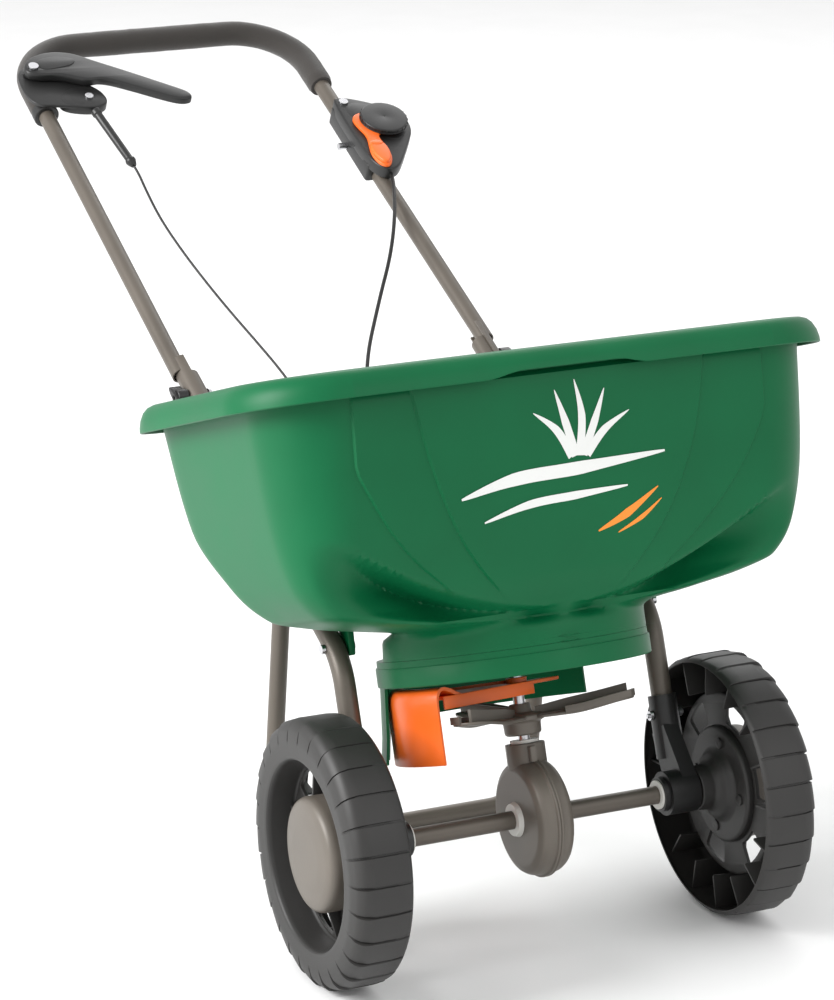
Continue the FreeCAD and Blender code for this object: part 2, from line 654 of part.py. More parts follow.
def gearbox(side):
    """One half of the gearbox shell, with half of the neck that guides the shaft."""
    label = "left" if side < 0 else "right"
    half = size("gear_half")
    radius = size("gear_radius")
    wall = size("gear_wall")
    bore = 13.0
    seam = 0.05
    outline = [(seam, radius + 1.5), (3.2, radius + 1.5), (3.6, radius - 2), (half - 3, radius - 3),
               (half, radius - 7), (half, bore), (half - wall, bore), (half - wall, radius - 9),
               (half - wall - 2, radius - 6), (seam, radius - 6)]
    body = new_body("gearbox_" + label, half_turn(PARK) if side < 0 else PARK)
    drawing = sketch_on(body, "XZ_Plane", "shell_" + label)
    draw_outline(drawing, outline)
    revolve(body, "shell_turn_" + label, drawing, "H_Axis")
    neck = sketch_on(body, "XY_Plane", "neck_" + label, radius - 5.5)
    half_disc(neck, size("neck_radius"), seam)
    pad(body, "neck_pad_" + label, neck, size("neck_high") - radius + 5.5)
    throat = sketch_on(body, "XY_Plane", "throat_" + label, radius - 12)
    draw_circle(throat, 0, 0, 12.0)
    pocket(body, "throat_cut_" + label, throat, 40.0, down=True)
    doc.recompute()
    sleeve = [(half - wall - 1, size("axle_radius") + size("running_gap")), (half - wall - 1, bore),
              (half + 0.1, bore), (half + 0.1, 18.0), (half + 5, 16.5),
              (half + 5, size("axle_radius") + size("running_gap"))]
    turned("gearbox_bushing_" + label, half_turn(PARK) if side < 0 else PARK, sleeve)


def half_disc(drawing, radius, seam):
    ring = Part.Circle(Vector(0, 0, 0), Vector(0, 0, 1), radius)
    turn = math.asin(seam / radius)
    drawing.addGeometry(Part.ArcOfCircle(ring, -math.pi / 2 + turn, math.pi / 2 - turn), False)
    up = radius * math.cos(turn)
    drawing.addGeometry(Part.LineSegment(Vector(seam, up, 0), Vector(seam, -up, 0)), False)


def gears():
    """The crown gear on the axle and the pinion on the spreading shaft."""
    radius = size("axle_radius")
    blank = [(-16.4, radius), (-16.4, 47), (-12.6, 47), (-12.6, 20), (-11.6, 20), (-11.6, radius)]
    body = turned("crown_gear", PARK, blank)
    doc.recompute()
    tooth = sketch_on(body, "YZ_Plane", "crown_tooth", -12.8)
    draw_outline(tooth, [(-1.5, 34), (1.5, 34), (2.0, 46.5), (-2.0, 46.5)])
    fin = pad(body, "crown_tooth_pad", tooth, 2.3)
    around(body, "crown_teeth", [fin], "X_Axis", 44)
    shaft = size("shaft_radius")
    low = size("shaft_low")
    body = turned("pinion", PARK, [(shaft, low + 2), (8.6, low + 2), (8.6, low + 22), (shaft, low + 22)],
                  axis="V_Axis")
    doc.recompute()
    tooth = sketch_on(body, "XY_Plane", "pinion_tooth", low + 2)
    draw_outline(tooth, [(8.2, -1.3), (10.2, -0.7), (10.2, 0.7), (8.2, 1.3)])
    fin = pad(body, "pinion_tooth_pad", tooth, 20.0)
    around(body, "pinion_teeth", [fin], "Z_Axis", 11)


def spreading_shaft():
    """The upright shaft, its bushing in the gearbox neck, and the agitator bar in the tub."""
    low = size("shaft_low")
    high = "Sizes.shaft_high - Sizes.shaft_low"
    rod("shaft", PARK.multiply(at((0, 0, low))), "Sizes.shaft_radius", high)
    radius = size("shaft_radius")
    sleeve = [(radius + size("running_gap"), 48), (11.98, 48), (11.98, 76.2), (15, 76.2), (15, 79.2),
              (radius + size("running_gap"), 79.2)]
    turned("shaft_bushing", PARK, sleeve, axis="V_Axis")
    bar = solid_rod((-34, 0, size("shaft_high") - 10), (1, 0, 0), 2.5, 68)
    collar = solid_rod((0, 0, size("shaft_high") - 17), (0, 0, 1), 10, 15)
    hole = solid_rod((0, 0, 100), (0, 0, 1), radius, 200)
    fixed_shape("agitator", collar.fuse(bar).cut(hole))


def impeller():
    """The fan: a hub, four broad arms and a curved vane along each."""
    level = size("impeller_level")
    radius = size("impeller_radius")
    shaft = size("shaft_radius")
    hub = [(shaft, level - 14), (18, level - 14), (19, level - 12), (19, level + 1), (24, level + 3),
           (24, level + 6), (11, level + 9), (11, level + 18), (shaft, level + 18)]
    turn = Placement(Vector(), Rotation(Vector(0, 0, 1), size("fan_turn")))
    body = turned("impeller", PARK.multiply(turn), hub, axis="V_Axis")
    doc.recompute()
    arm = sketch_on(body, "XY_Plane", "arm", level + 2)
    draw_outline(arm, [(12, -20), (56, -27), (94, -27), (radius - 4, -18), (radius - 2, 4), (92, 14),
                       (52, 15), (14, 18)])
    flat = pad(body, "arm_pad", arm, 3.0)
    vane = sketch_on(body, "XY_Plane", "vane", level + 2)
    draw_outline(vane, [(15, 0), (48, 5), (80, 5), (radius - 6, -2), (radius - 6, -4.6), (80, 2.2),
                        (48, 2.2), (15, -3)])
    wall = pad(body, "vane_pad", vane, "Sizes.vane_high")
    around(body, "arms", [flat, wall], "Z_Axis", "Sizes.vane_count")


def shut_off_plate():
    """The slide under the tub's ports."""
    level = size("plate_level")
    reach = size("port_offset")
    plate = slab([(-78, -66), (78, -66), (78, 66), (-78, 66)], size("plate_thick"), level)
    slot = solid_rod((0, 0, level - 1), (0, 0, 1), 9, 4)
    slot = slot.fuse(Part.makeBox(18, size("plate_travel"), 4, Vector(-9, -size("plate_travel"), level - 1)))
    slot = slot.fuse(solid_rod((0, -size("plate_travel"), level - 1), (0, 0, 1), 9, 4))
    holes = [solid_rod((reach * math.cos(math.radians(angle)), reach * math.sin(math.radians(angle))
                        - size("plate_travel"), level - 1), (0, 0, 1), size("port_radius"), 4)
             for angle in (205, 270, 335)]
    tail = Part.makeBox(22, 40, size("plate_thick"), Vector(-44, 60, level))
    fixed_shape("shut_off_plate", plate.fuse(tail).cut(slot.fuse(holes)))


def deflector():
    """The curved shield that swings about the shaft, on an arm above the fan."""
    radius = size("shield_radius")
    wall = size("shield_wall")
    low = size("shield_low")
    high = size("shield_high")
    curve = arc_wall(radius, wall, low, high, 158, 208)
    bore = size("shaft_radius") + size("running_gap")
    arm = slab([(-118, 48), (-6, 16), (16, 10), (44, -2), (10, -14), (-96, -48), (-110, -62),
                (-124, -30), (-127, 20)], 3.0, high - 14)
    corner = arc_wall(radius - 0.5, 9.0, high - 14, high - 11, 158, 208)
    hub = solid_rod((0, 0, high - 19), (0, 0, 1), 11, 14)
    body = curve.fuse([arm, corner, hub]).cut(solid_rod((0, 0, 90), (0, 0, 1), bore, 90))
    fixed_shape("deflector", body)


# ---------------------------------------------------------------- fasteners

def bolt(label, spot, length, head=5.5, nut=5.0, place=PARK, side=1):
    """A bolt along X with a round head at its start and a nut at its end."""
    across, back, up = spot
    shape = solid_rod(spot, (1, 0, 0), size("bolt_radius"), length)
    shape = shape.fuse([solid_rod((across - 3, back, up), (1, 0, 0), head, 3),
                        solid_rod((across + length - 4, back, up), (1, 0, 0), nut, 4)])
    if side < 0:
        shape = shape.mirror(Vector(), Vector(1, 0, 0))
    return fixed_shape(label, shape, place)


def wing_knob(label, spot, side):
    """A moulded wing knob whose threaded hole lies along X; spot is its seat in the handle frame."""
    across, along, lift = spot
    core = solid_rod(spot, (1, 0, 0), 8.5, 12)
    wings = Part.makeBox(14, 34, 5, Vector(across + 2, along - 17, lift - 2.5))
    hole = solid_rod((across - 1, along, lift), (1, 0, 0), size("bolt_radius"), 12)
    shape = core.fuse(wings).cut(hole)
    if side < 0:
        shape = shape.mirror(Vector(), Vector(1, 0, 0))
    return fixed_shape(label, shape, HANDLE)


def fasteners():
    tube = size("frame_side")
    radius = size("frame_radius")
    joint = size("joint_reach")
    out = tube + radius + size("running_gap") + size("scoop_wall")
    back, up = lug_spot()
    for side, label in ((-1, "left"), (1, "right")):
        near = tube - radius
        shank = solid_rod((near, joint, 0), (1, 0, 0), size("bolt_radius"), out + 10 - near)
        head = solid_rod((near - 3, joint, 0), (1, 0, 0), 6.0, 3)
        shape = shank.fuse(head)
        if side < 0:
            shape = shape.mirror(Vector(), Vector(1, 0, 0))
        fixed_shape("joint_bolt_" + label, shape, HANDLE)
        wing_knob("wing_knob_" + label, (out, joint, 0), side)
        start = size("stand_side") - size("handle_radius")
        bolt("stand_bolt_" + label, (start, size("stand_back"), size("stand_up")),
             tube + radius + 4 - start, side=side)
        start = near - 7.0
        bolt("lug_bolt_" + label, (start, back, up), tube + radius + 4 - start, side=side)


# ---------------------------------------------------------------- left control

def handle_side(along):
    """How far the handle tube is from the middle at a place along it."""
    drop = (size("handle_low_side") - size("handle_high_side")) / (size("grip_reach") - 24)
    return size("handle_high_side") + drop * (size("grip_reach") - along)


def tube_cutter(start, end, gap, side):
    """A cylinder on the handle tube's own line between two places along it."""
    low = Vector(side * handle_side(start), start, 0)
    high = Vector(side * handle_side(end), end, 0)
    return Part.makeCylinder(size("handle_radius") + gap, (high - low).Length, low, high - low)


def left_control():
    """The bracket on the left bend, the squeeze lever and the cable barrel."""
    pivot = (size("lever_across"), size("lever_along"))
    level = size("bracket_level")
    plate = slab([(-193, 504), (-199, 518), (-199, 545), (-196, 569), (-184, 578), (-168, 576),
                  (-118, 532), (-108, 512), (-112, 496), (-130, 488), (-160, 498)], 4.0, level)
    rim = slab([(-168, 504), (-112, 496), (-108, 512), (-118, 532), (-166, 516)], 12.0, level - 8)
    collar = tube_cutter(505, 517, 5.5, -1)
    body = plate.fuse([rim, collar]).cut(tube_cutter(470, 540, size("running_gap"), -1))
    body = body.cut(foam_room()).cut(solid_rod((pivot[0], pivot[1], level - 1), (0, 0, 1), 3.0, 6))
    fixed_shape("lever_bracket", body, HANDLE)
    base = level + 4.3
    arm = slab([(-193, 556), (-187, 573), (-170, 587), (-140, 591), (-108, 572), (-18, 503), (-6, 490),
                (-10, 478), (-26, 478), (-104, 530), (-120, 526), (-136, 538), (-168, 546)], 12.0, base)
    arm = arm.cut(solid_rod((pivot[0], pivot[1], base - 1), (0, 0, 1), 3.05, 20))
    fixed_shape("squeeze_lever", arm, HANDLE)
    pin = solid_rod((pivot[0], pivot[1], level - 0.5), (0, 0, 1), 3.0, 18)
    head = solid_rod((pivot[0], pivot[1], base + 12.3), (0, 0, 1), 6.0, 2.5)
    fixed_shape("lever_pivot", pin.fuse(head), HANDLE)
    screw = solid_rod((-126, 511, level + 4), (0, 0, 1), 5.0, 2.2)
    fixed_shape("bracket_screw", screw, HANDLE)
    start = Vector(*BARREL_START)
    end = Vector(*BARREL_END)
    run = end - start
    body = Part.makeCylinder(5.0, run.Length - 6, start, run)
    collar = Part.makeCylinder(6.0, 7, start, run)
    tip = Part.makeCone(6.0, 3.2, 9, start + run.normalize() * ((end - start).Length - 9), run)
    hole = Part.makeCylinder(size("wire_radius") + 0.6, 14, end - run * 13, run)
    fixed_shape("cable_barrel", body.fuse([collar, tip]).cut(hole), HANDLE)


def foam_room():
    """The space of the foam sleeve with a little air round it, near the left bend."""
    radius = size("foam_radius") + size("foam_gap")
    start = size("foam_start") - size("foam_gap")
    bend_at = size("grip_reach") - size("handle_bend")
    low = Vector(-handle_side(start), start, 0)
    high = Vector(-handle_side(bend_at), bend_at, 0)
    straight = Part.makeCylinder(radius, (high - low).Length, low, high - low)
    bend = size("handle_bend")
    ring = Part.makeTorus(bend, radius, Vector(-size("handle_high_side") + bend, bend_at, 0), Vector(0, 0, 1))
    return straight.fuse(ring)


# ---------------------------------------------------------------- right control

def right_control():
    """The panel on the right tube with its rate dial and the deflector lever."""
    across = size("dial_across")
    along = size("dial_along")
    level = size("panel_level")
    base = Part.makeBox(30, 127, level + 7, Vector(163, 335, -7))
    shell = slab([(163, 462), (184, 464), (222, 434), (239, 408), (238, 388), (218, 356), (198, 324),
                  (187, 314), (175, 318), (163, 340)], 16.0, level - 6)
    body = base.fuse(shell).cut(tube_cutter(300, 500, size("running_gap"), 1))
    body = body.cut(solid_rod((across, along, level), (0, 0, 1), 4.0, 20))
    body = body.cut(entry_bore(CABLE_ROUTE[0], CABLE_ROUTE[1], size("cable_radius")))
    fixed_shape("control_panel", body, HANDLE)
    top = level + 10.3
    hub = solid_rod((across, along, top), (0, 0, 1), 20, 4)
    arm = slab([(across - 12, along + 14), (across - 27, along + 18), (across - 36, along + 8),
                (across - 33, along - 22), (across - 38, along - 60), (across - 34, along - 82),
                (across - 24, along - 84), (across - 17, along - 62), (across - 21, along - 30),
                (across - 8, along - 12)], 4.0, top)
    grip = slab([(across - 38, along - 44), (across - 38, along - 60), (across - 34, along - 82),
                 (across - 24, along - 84), (across - 17, along - 62), (across - 20, along - 44)],
                9.0, top)
    body = hub.fuse([arm, grip]).cut(solid_rod((across, along, top - 1), (0, 0, 1), 4.05, 9))
    fixed_shape("deflector_lever", body, HANDLE)
    dial = solid_rod((across, along, top + 4.3), (0, 0, 1), 28.5, 6)
    dial = dial.cut(solid_rod((across, along, top + 3), (0, 0, 1), 4.05, 5.3))
    fixed_shape("rate_dial", dial, HANDLE)
    fixed_shape("dial_pin", solid_rod((across, along, level + 1), (0, 0, 1), 4.0, top + 8.2 - level - 1),
                HANDLE)
    fixed_shape("panel_screw", solid_rod((174, 449, level + 10.05), (0, 0, 1), 5.5, 2.0), HANDLE)
    fixed_shape("panel_bolt", solid_rod((152, 398, 0), (1, 0, 0), 4.0, 10.9), HANDLE)


# ---------------------------------------------------------------- cables

# Routes in the handle frame: across, along the tube and above its plane.
BARREL_START = (-127.0, 486.0, 18.0)
BARREL_END = (-106.0, 399.0, -1.0)
WIRE_ROUTE = [(-108.5, 409.5, 1.28), (-104.2, 391.4, -2.66), (-103.8, 361.0, -8.2),
              (-101.0, 314.0, -16.0), (-91.5, 262.0, -24.0), (-80.7, 212.0, -30.0),
              (-69.4, 160.0, -34.0), (-57.0, 106.0, -36.5), (-46.0, 54.0, -39.0),
              (-38.5, 0.0, -43.0), (-35.0, -52.0, -50.0), (-34.0, -104.0, -59.0),
              (-32.0, -156.0, -70.5), (-33.5, -208.0, -80.5), (-33.0, -258.0, -89.0),
              (-34.0, -308.0, -94.0), (-33.0, -352.0, -96.5)]
CABLE_ROUTE = [(186.0, 326.0, 17.0), (181.7, 305.3, 17.8), (173.4, 281.8, 18.0), (162.9, 254.1, 17.5),
               (151.0, 226.3, 15.5), (140.2, 202.4, 9.0), (126.8, 176.5, -2.0), (106.0, 142.5, -13.0),
               (83.3, 103.4, -22.0), (61.4, 64.9, -28.0), (44.0, 26.0, -34.0), (34.0, -16.0, -41.0),
               (30.5, -62.0, -49.5), (31.5, -112.0, -60.0), (34.0, -162.0, -72.0), (33.0, -212.0, -82.5),
               (33.5, -262.0, -91.0), (34.5, -310.0, -95.5), (33.0, -352.0, -97.0)]


def cord(label, route, radius):
    """A cable on its real route: straight runs joined by arcs."""
    spots = [Vector(*spot) for spot in route]
    radii = []
    for index in range(1, len(spots) - 1):
        back = spots[index - 1] - spots[index]
        ahead = spots[index + 1] - spots[index]
        turn = math.pi - back.getAngle(ahead)
        radii.append(0.45 * min(back.Length, ahead.Length) / math.tan(turn / 2.0))
    wire = Part.Wire(bend_path(route, radii))
    ring = Part.Wire(Part.makeCircle(radius, spots[0], spots[1] - spots[0]))
    tube = wire.makePipeShell([ring], True, True)
    print(label, "length", round(wire.Length, 1), "smallest bend", round(min(radii), 1),
          "volume ratio", round(tube.Volume / (math.pi * radius * radius * wire.Length), 4))
    return fixed_shape(label, tube, HANDLE)


def entry_bore(end, before, radius):
    """The blind bore that the end of a cable lies in, open towards the rest of its route."""
    start = Vector(*end)
    return Part.makeCylinder(radius + 0.3, 30, start, Vector(*before) - start)


def anchor(label, route, radius):
    """The block on the back of the shroud that a cable enters."""
    end, before = [PARK.inverse().multVec(HANDLE.multVec(Vector(*spot))) for spot in (route[-1], route[-2])]
    block = Part.makeBox(16, end.y - 130, 22, Vector(end.x - 8, 136.5, end.z - 8))
    block = block.cut(Part.makeCylinder(size("band_radius") + 1.6, 60, Vector(0, 0, end.z - 30)))
    fixed_shape(label, block.cut(entry_bore(end, before, radius)))


hopper()
shroud()
for SIDE in (-1, 1):
    frame_tube(SIDE)
    axle_bracket(SIDE)
    gearbox(SIDE)
stand()
handle()
foam_grip()
wheel("wheel_left", half_turn(PARK), size("axle_radius"))
wheel("wheel_right", PARK, size("axle_radius") + size("running_gap"))
hub_cap("hub_cap_left", half_turn(PARK))
hub_cap("hub_cap_right", PARK)
axle()
gears()
spreading_shaft()
impeller()
shut_off_plate()
deflector()
fasteners()
left_control()
right_control()
cord("shut_off_wire", WIRE_ROUTE, size("wire_radius"))
cord("deflector_cable", CABLE_ROUTE, size("cable_radius"))
anchor("wire_anchor", WIRE_ROUTE, size("wire_radius"))
anchor("cable_anchor", CABLE_ROUTE, size("cable_radius"))
doc.recompute()
for item in made:
    shape = item.Shape
    if shape.isNull() or not shape.isValid() or "Up-to-date" not in item.State:
        raise RuntimeError("%s is not a sound shape: %s" % (item.Label, item.State))
    shape.exportStep("parts/%s.step" % item.Label)
    print(item.Label, len(shape.Solids), round(shape.Volume / 1000, 1), shape.BoundBox)
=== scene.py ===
import json
import math

import bmesh
import bpy
from mathutils import Matrix, Vector, noise


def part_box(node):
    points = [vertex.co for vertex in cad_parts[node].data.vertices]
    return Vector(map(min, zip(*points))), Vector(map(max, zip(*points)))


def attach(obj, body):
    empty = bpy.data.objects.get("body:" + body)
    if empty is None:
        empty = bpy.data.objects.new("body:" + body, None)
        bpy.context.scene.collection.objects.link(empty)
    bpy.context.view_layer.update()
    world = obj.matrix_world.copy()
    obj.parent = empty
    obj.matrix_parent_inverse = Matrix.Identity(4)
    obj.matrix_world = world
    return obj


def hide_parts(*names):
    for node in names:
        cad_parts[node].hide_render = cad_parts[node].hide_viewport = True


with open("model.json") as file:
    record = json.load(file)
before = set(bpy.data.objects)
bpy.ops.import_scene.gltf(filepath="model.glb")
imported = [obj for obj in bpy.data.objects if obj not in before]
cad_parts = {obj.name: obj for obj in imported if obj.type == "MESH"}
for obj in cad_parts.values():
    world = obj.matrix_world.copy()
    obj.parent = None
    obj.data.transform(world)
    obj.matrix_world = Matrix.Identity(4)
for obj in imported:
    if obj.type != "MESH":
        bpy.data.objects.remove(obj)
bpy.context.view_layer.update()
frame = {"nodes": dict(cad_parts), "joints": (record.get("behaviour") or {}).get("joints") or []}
NODES = frame["nodes"]
scene = bpy.context.scene
JOINTS = {joint["name"]: joint for joint in frame["joints"]}
ACROSS = Vector((1, 0, 0))
MM = Matrix.Scale(0.001, 4)


# ---------------------------------------------------------------- frames

def axis_of(name):
    return Vector(JOINTS[name]["axis"]).normalized()


def middle(node):
    low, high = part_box(node)
    return (Vector(low) + Vector(high)) / 2


def frame_at(origin, along, up):
    """A frame in millimetres whose own axes are X, along and up."""
    turn = Matrix((ACROSS, along, up)).transposed().to_4x4()
    return Matrix.Translation(origin) @ turn @ MM


# MACHINE has its origin on the axle, Z along the spreading shaft and -Y towards the front.
# HANDLE lies on the plane of the handle's tubes: X across, Y up along them, Z out of the plane.
SHAFT = axis_of("fan_spin")
MACHINE = frame_at(middle("axle"), axis_of("plate_slide"), SHAFT)
RAIL = Vector((0, 340, 487))
NORMAL = axis_of("lever_squeeze")
HANDLE = frame_at(MACHINE @ RAIL, NORMAL.cross(ACROSS), NORMAL)
FLIP = Matrix.Rotation(math.pi, 4, "Z")
MIRROR = Matrix.Diagonal((-1, 1, 1, 1))


# ---------------------------------------------------------------- camera

def look(place, azimuth, elevation, lens):
    data = bpy.data.cameras.new("camera")
    data.lens = lens
    data.sensor_width = 36.0
    data.clip_end = 50.0
    camera = bpy.data.objects.new("camera", data)
    camera.location = place
    camera.rotation_euler = (math.radians(90 - elevation), 0, math.radians(azimuth))
    scene.collection.objects.link(camera)
    scene.camera = camera


look((-1.626, -3.7026, 1.591), -24.78, 17.14, 137.15)


# ---------------------------------------------------------------- materials

BLOTCH = 9.0


def material(name, colour, rough, metal=0.0, shade=0.12, grain=0.1, grain_scale=900.0, bump=0.05,
             spread=0.08, sheen=0.0, specular=0.5):
    """A moulded or coated finish: blotchy tone, uneven gloss and a fine grain."""
    made = bpy.data.materials.new(name)
    made.use_nodes = True
    nodes = made.node_tree.nodes
    links = made.node_tree.links
    shader = nodes["Principled BSDF"]
    shader.inputs["Metallic"].default_value = metal
    shader.inputs["Specular IOR Level"].default_value = specular
    shader.inputs["Sheen Weight"].default_value = sheen
    place = nodes.new("ShaderNodeTexCoord")
    large = nodes.new("ShaderNodeTexNoise")
    large.inputs["Scale"].default_value = BLOTCH
    large.inputs["Detail"].default_value = 5.0
    fine = nodes.new("ShaderNodeTexNoise")
    fine.inputs["Scale"].default_value = grain_scale
    fine.inputs["Detail"].default_value = 3.0
    for item in (large, fine):
        links.new(place.outputs["Object"], item.inputs["Vector"])
    tone = nodes.new("ShaderNodeValToRGB")
    tone.color_ramp.elements[0].position = 0.3
    tone.color_ramp.elements[1].position = 0.7
    tone.color_ramp.elements[0].color = [part * (1 - shade) for part in colour] + [1]
    tone.color_ramp.elements[1].color = [min(part * (1 + shade), 1) for part in colour] + [1]
    links.new(large.outputs["Fac"], tone.inputs["Fac"])
    speck = nodes.new("ShaderNodeMix")
    speck.data_type = "RGBA"
    speck.blend_type = "MULTIPLY"
    speck.inputs["Factor"].default_value = grain
    links.new(tone.outputs["Color"], speck.inputs["A"])
    links.new(fine.outputs["Color"], speck.inputs["B"])
    links.new(speck.outputs["Result"], shader.inputs["Base Color"])
    gloss = nodes.new("ShaderNodeMapRange")
    gloss.inputs["To Min"].default_value = rough - spread
    gloss.inputs["To Max"].default_value = rough + spread
    links.new(large.outputs["Fac"], gloss.inputs["Value"])
    links.new(gloss.outputs["Result"], shader.inputs["Roughness"])
    relief = nodes.new("ShaderNodeBump")
    relief.inputs["Strength"].default_value = bump
    relief.inputs["Distance"].default_value = 0.0006
    links.new(fine.outputs["Fac"], relief.inputs["Height"])
    links.new(relief.outputs["Normal"], shader.inputs["Normal"])
    return made


FINISH = {
    "green_plastic": material("green_plastic", (0.001, 0.112, 0.038), 0.42, shade=0.07, bump=0.10,
                              grain_scale=1400.0, grain=0.05, specular=0.2),
    "powder_coated_tube": material("powder_coated_tube", (0.135, 0.116, 0.096), 0.42, metal=0.35,
                                   grain_scale=2600.0, grain=0.35, bump=0.08),
    "taupe_plastic": material("taupe_plastic", (0.140, 0.122, 0.102), 0.45, metal=0.15,
                              grain_scale=1500.0, grain=0.22, bump=0.10),
    "black_plastic": material("black_plastic", (0.010, 0.010, 0.010), 0.40, grain_scale=1300.0,
                              bump=0.14, shade=0.2),
    "wheel_plastic": material("wheel_plastic", (0.019, 0.018, 0.017), 0.50, grain_scale=1100.0,
                              bump=0.18, shade=0.2, spread=0.1),
    "foam": material("foam", (0.030, 0.025, 0.021), 0.85, grain_scale=1700.0, bump=0.55, grain=0.45,
                     shade=0.15, sheen=0.25),
    "orange_plastic": material("orange_plastic", (0.80, 0.130, 0.012), 0.36, shade=0.06, bump=0.08,
                               grain_scale=1200.0, grain=0.04),
    "nylon": material("nylon", (0.66, 0.65, 0.61), 0.45, shade=0.04, grain=0.05),
    "zinc_steel": material("zinc_steel", (0.62, 0.62, 0.64), 0.28, metal=1.0, grain=0.15, bump=0.04),
    "cable_jacket": material("cable_jacket", (0.008, 0.008, 0.008), 0.38, bump=0.03),
    "white_ink": material("white_ink", (0.80, 0.81, 0.79), 0.42, shade=0.03, grain=0.04, bump=0.03),
    "orange_ink": material("orange_ink", (0.90, 0.27, 0.02), 0.42, shade=0.04, grain=0.04, bump=0.03),
}


# ---------------------------------------------------------------- mesh helpers

def corner_arcs(points, radius, steps=3, closed=True):
    """The same outline with its corners rounded."""
    count = len(points)
    out = []
    for index, spot in enumerate(points):
        here = Vector(spot)
        if not closed and index in (0, count - 1):
            out.append(here)
            continue
        back = Vector(points[index - 1]) - here
        ahead = Vector(points[(index + 1) % count]) - here
        reach = min(radius, 0.45 * back.length, 0.45 * ahead.length)
        first = here + back.normalized() * reach
        last = here + ahead.normalized() * reach
        for step in range(steps + 1):
            part = step / steps
            out.append(first * (1 - part) ** 2 + here * 2 * part * (1 - part) + last * part ** 2)
    return out


def turned(profile, steps=96, start=0.0, end=360.0):
    """A closed shape turned about X from (along, radius) points."""
    whole = abs(end - start - 360.0) < 0.01
    rings = steps if whole else steps + 1
    made = bmesh.new()
    grid = []
    for ring in range(rings):
        angle = math.radians(start + (end - start) * ring / steps)
        row = []
        for along, radius in profile:
            row.append(made.verts.new((along, radius * math.cos(angle), radius * math.sin(angle))))
        grid.append(row)
    count = len(profile)
    for ring in range(steps):
        near = grid[ring]
        far = grid[(ring + 1) % rings]
        for index in range(count):
            after = (index + 1) % count
            made.faces.new((near[index], near[after], far[after], far[index]))
    if not whole:
        made.faces.new(grid[0])
        made.faces.new(list(reversed(grid[-1])))
    return made


def plate(loops, low, high, edge=0.0, smooth=True, steps=5):
    """A flat piece in the XY plane; the first loop is its outline and the others are holes."""
    curve = bpy.data.curves.new("plate", "CURVE")
    curve.dimensions = "2D"
    curve.fill_mode = "BOTH"
    curve.extrude = (high - low) / 2 - edge
    curve.bevel_depth = edge
    curve.bevel_resolution = 2
    curve.offset = -edge
    for loop in loops:
        spline = curve.splines.new("NURBS" if smooth else "POLY")
        spline.points.add(len(loop) - 1)
        for point, spot in zip(spline.points, loop):
            point.co = (spot[0], spot[1], 0, 1)
        spline.use_cyclic_u = True
        if smooth:
            spline.order_u = 3
            spline.resolution_u = steps
    holder = bpy.data.objects.new("plate", curve)
    mesh = bpy.data.meshes.new_from_object(holder)
    made = bmesh.new()
    made.from_mesh(mesh)
    bmesh.ops.translate(made, verts=made.verts, vec=(0, 0, (low + high) / 2))
    bpy.data.objects.remove(holder)
    bpy.data.curves.remove(curve)
    bpy.data.meshes.remove(mesh)
    return made


def ring_points(radius, count=24, centre=(0, 0)):
    angles = [2 * math.pi * step / count for step in range(count)]
    return [(centre[0] + radius * math.cos(angle), centre[1] + radius * math.sin(angle))
            for angle in angles]


def disc(radius, low, high, edge=0.6, count=48, hole=0.0, centre=(0, 0)):
    """A round piece about Z with rounded edges."""
    outline = [(low, hole), (low, radius), (high, radius), (high, hole)]
    profile = corner_arcs(outline, edge, 3)
    made = turned(profile, count)
    for vert in made.verts:
        along, across, up = vert.co
        vert.co = (across + centre[0], up + centre[1], along)
    bmesh.ops.reverse_faces(made, faces=made.faces)
    return made


def sweep(path, sides, outline):
    """A bar along points; outline(step, angle) gives the radius and the ends are closed."""
    made = bmesh.new()
    rows = []
    count = len(path)
    up = Vector((0, 0, 1))
    for step, spot in enumerate(path):
        ahead = (Vector(path[min(step + 1, count - 1)]) - Vector(path[max(step - 1, 0)])).normalized()
        side = ahead.cross(up).normalized()
        top = side.cross(ahead)
        row = []
        for number in range(sides):
            angle = 2 * math.pi * number / sides
            reach = outline(step / (count - 1), angle)
            row.append(made.verts.new(Vector(spot) + side * reach * math.cos(angle)
                                      + top * reach * math.sin(angle)))
        rows.append(row)
    for step in range(count - 1):
        for number in range(sides):
            after = (number + 1) % sides
            made.faces.new((rows[step][number], rows[step][after], rows[step + 1][after],
                            rows[step + 1][number]))
    made.faces.new(list(reversed(rows[0])))
    made.faces.new(rows[-1])
    return made


def moved(made, matrix):
    bmesh.ops.transform(made, matrix=matrix, verts=made.verts)
    if matrix.determinant() < 0:
        bmesh.ops.reverse_faces(made, faces=made.faces)
    return made


def piece(name, parts, body, slot, replaces=(), crease=32.0, place=MACHINE, finish=None):
    """Joins parts into one named object that rides on a CAD body."""
    whole = bmesh.new()
    for part in parts:
        mesh = bpy.data.meshes.new("part")
        part.to_mesh(mesh)
        part.free()
        whole.from_mesh(mesh)
        bpy.data.meshes.remove(mesh)
    bmesh.ops.transform(whole, matrix=place, verts=whole.verts)
    bmesh.ops.remove_doubles(whole, verts=whole.verts, dist=0.00002)
    bmesh.ops.dissolve_degenerate(whole, edges=whole.edges, dist=0.000005)
    bmesh.ops.recalc_face_normals(whole, faces=whole.faces)
    limit = math.radians(crease)
    for face in whole.faces:
        face.smooth = True
    for edge in whole.edges:
        if len(edge.link_faces) != 2 or edge.calc_face_angle(0.0) > limit:
            edge.smooth = False
    mesh = bpy.data.meshes.new(name)
    whole.to_mesh(mesh)
    whole.free()
    made = bpy.data.objects.new(name, mesh)
    scene.collection.objects.link(made)
    made.data.materials.append(finish or FINISH[slot])
    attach(made, body)
    if replaces:
        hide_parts(*replaces)
    return made


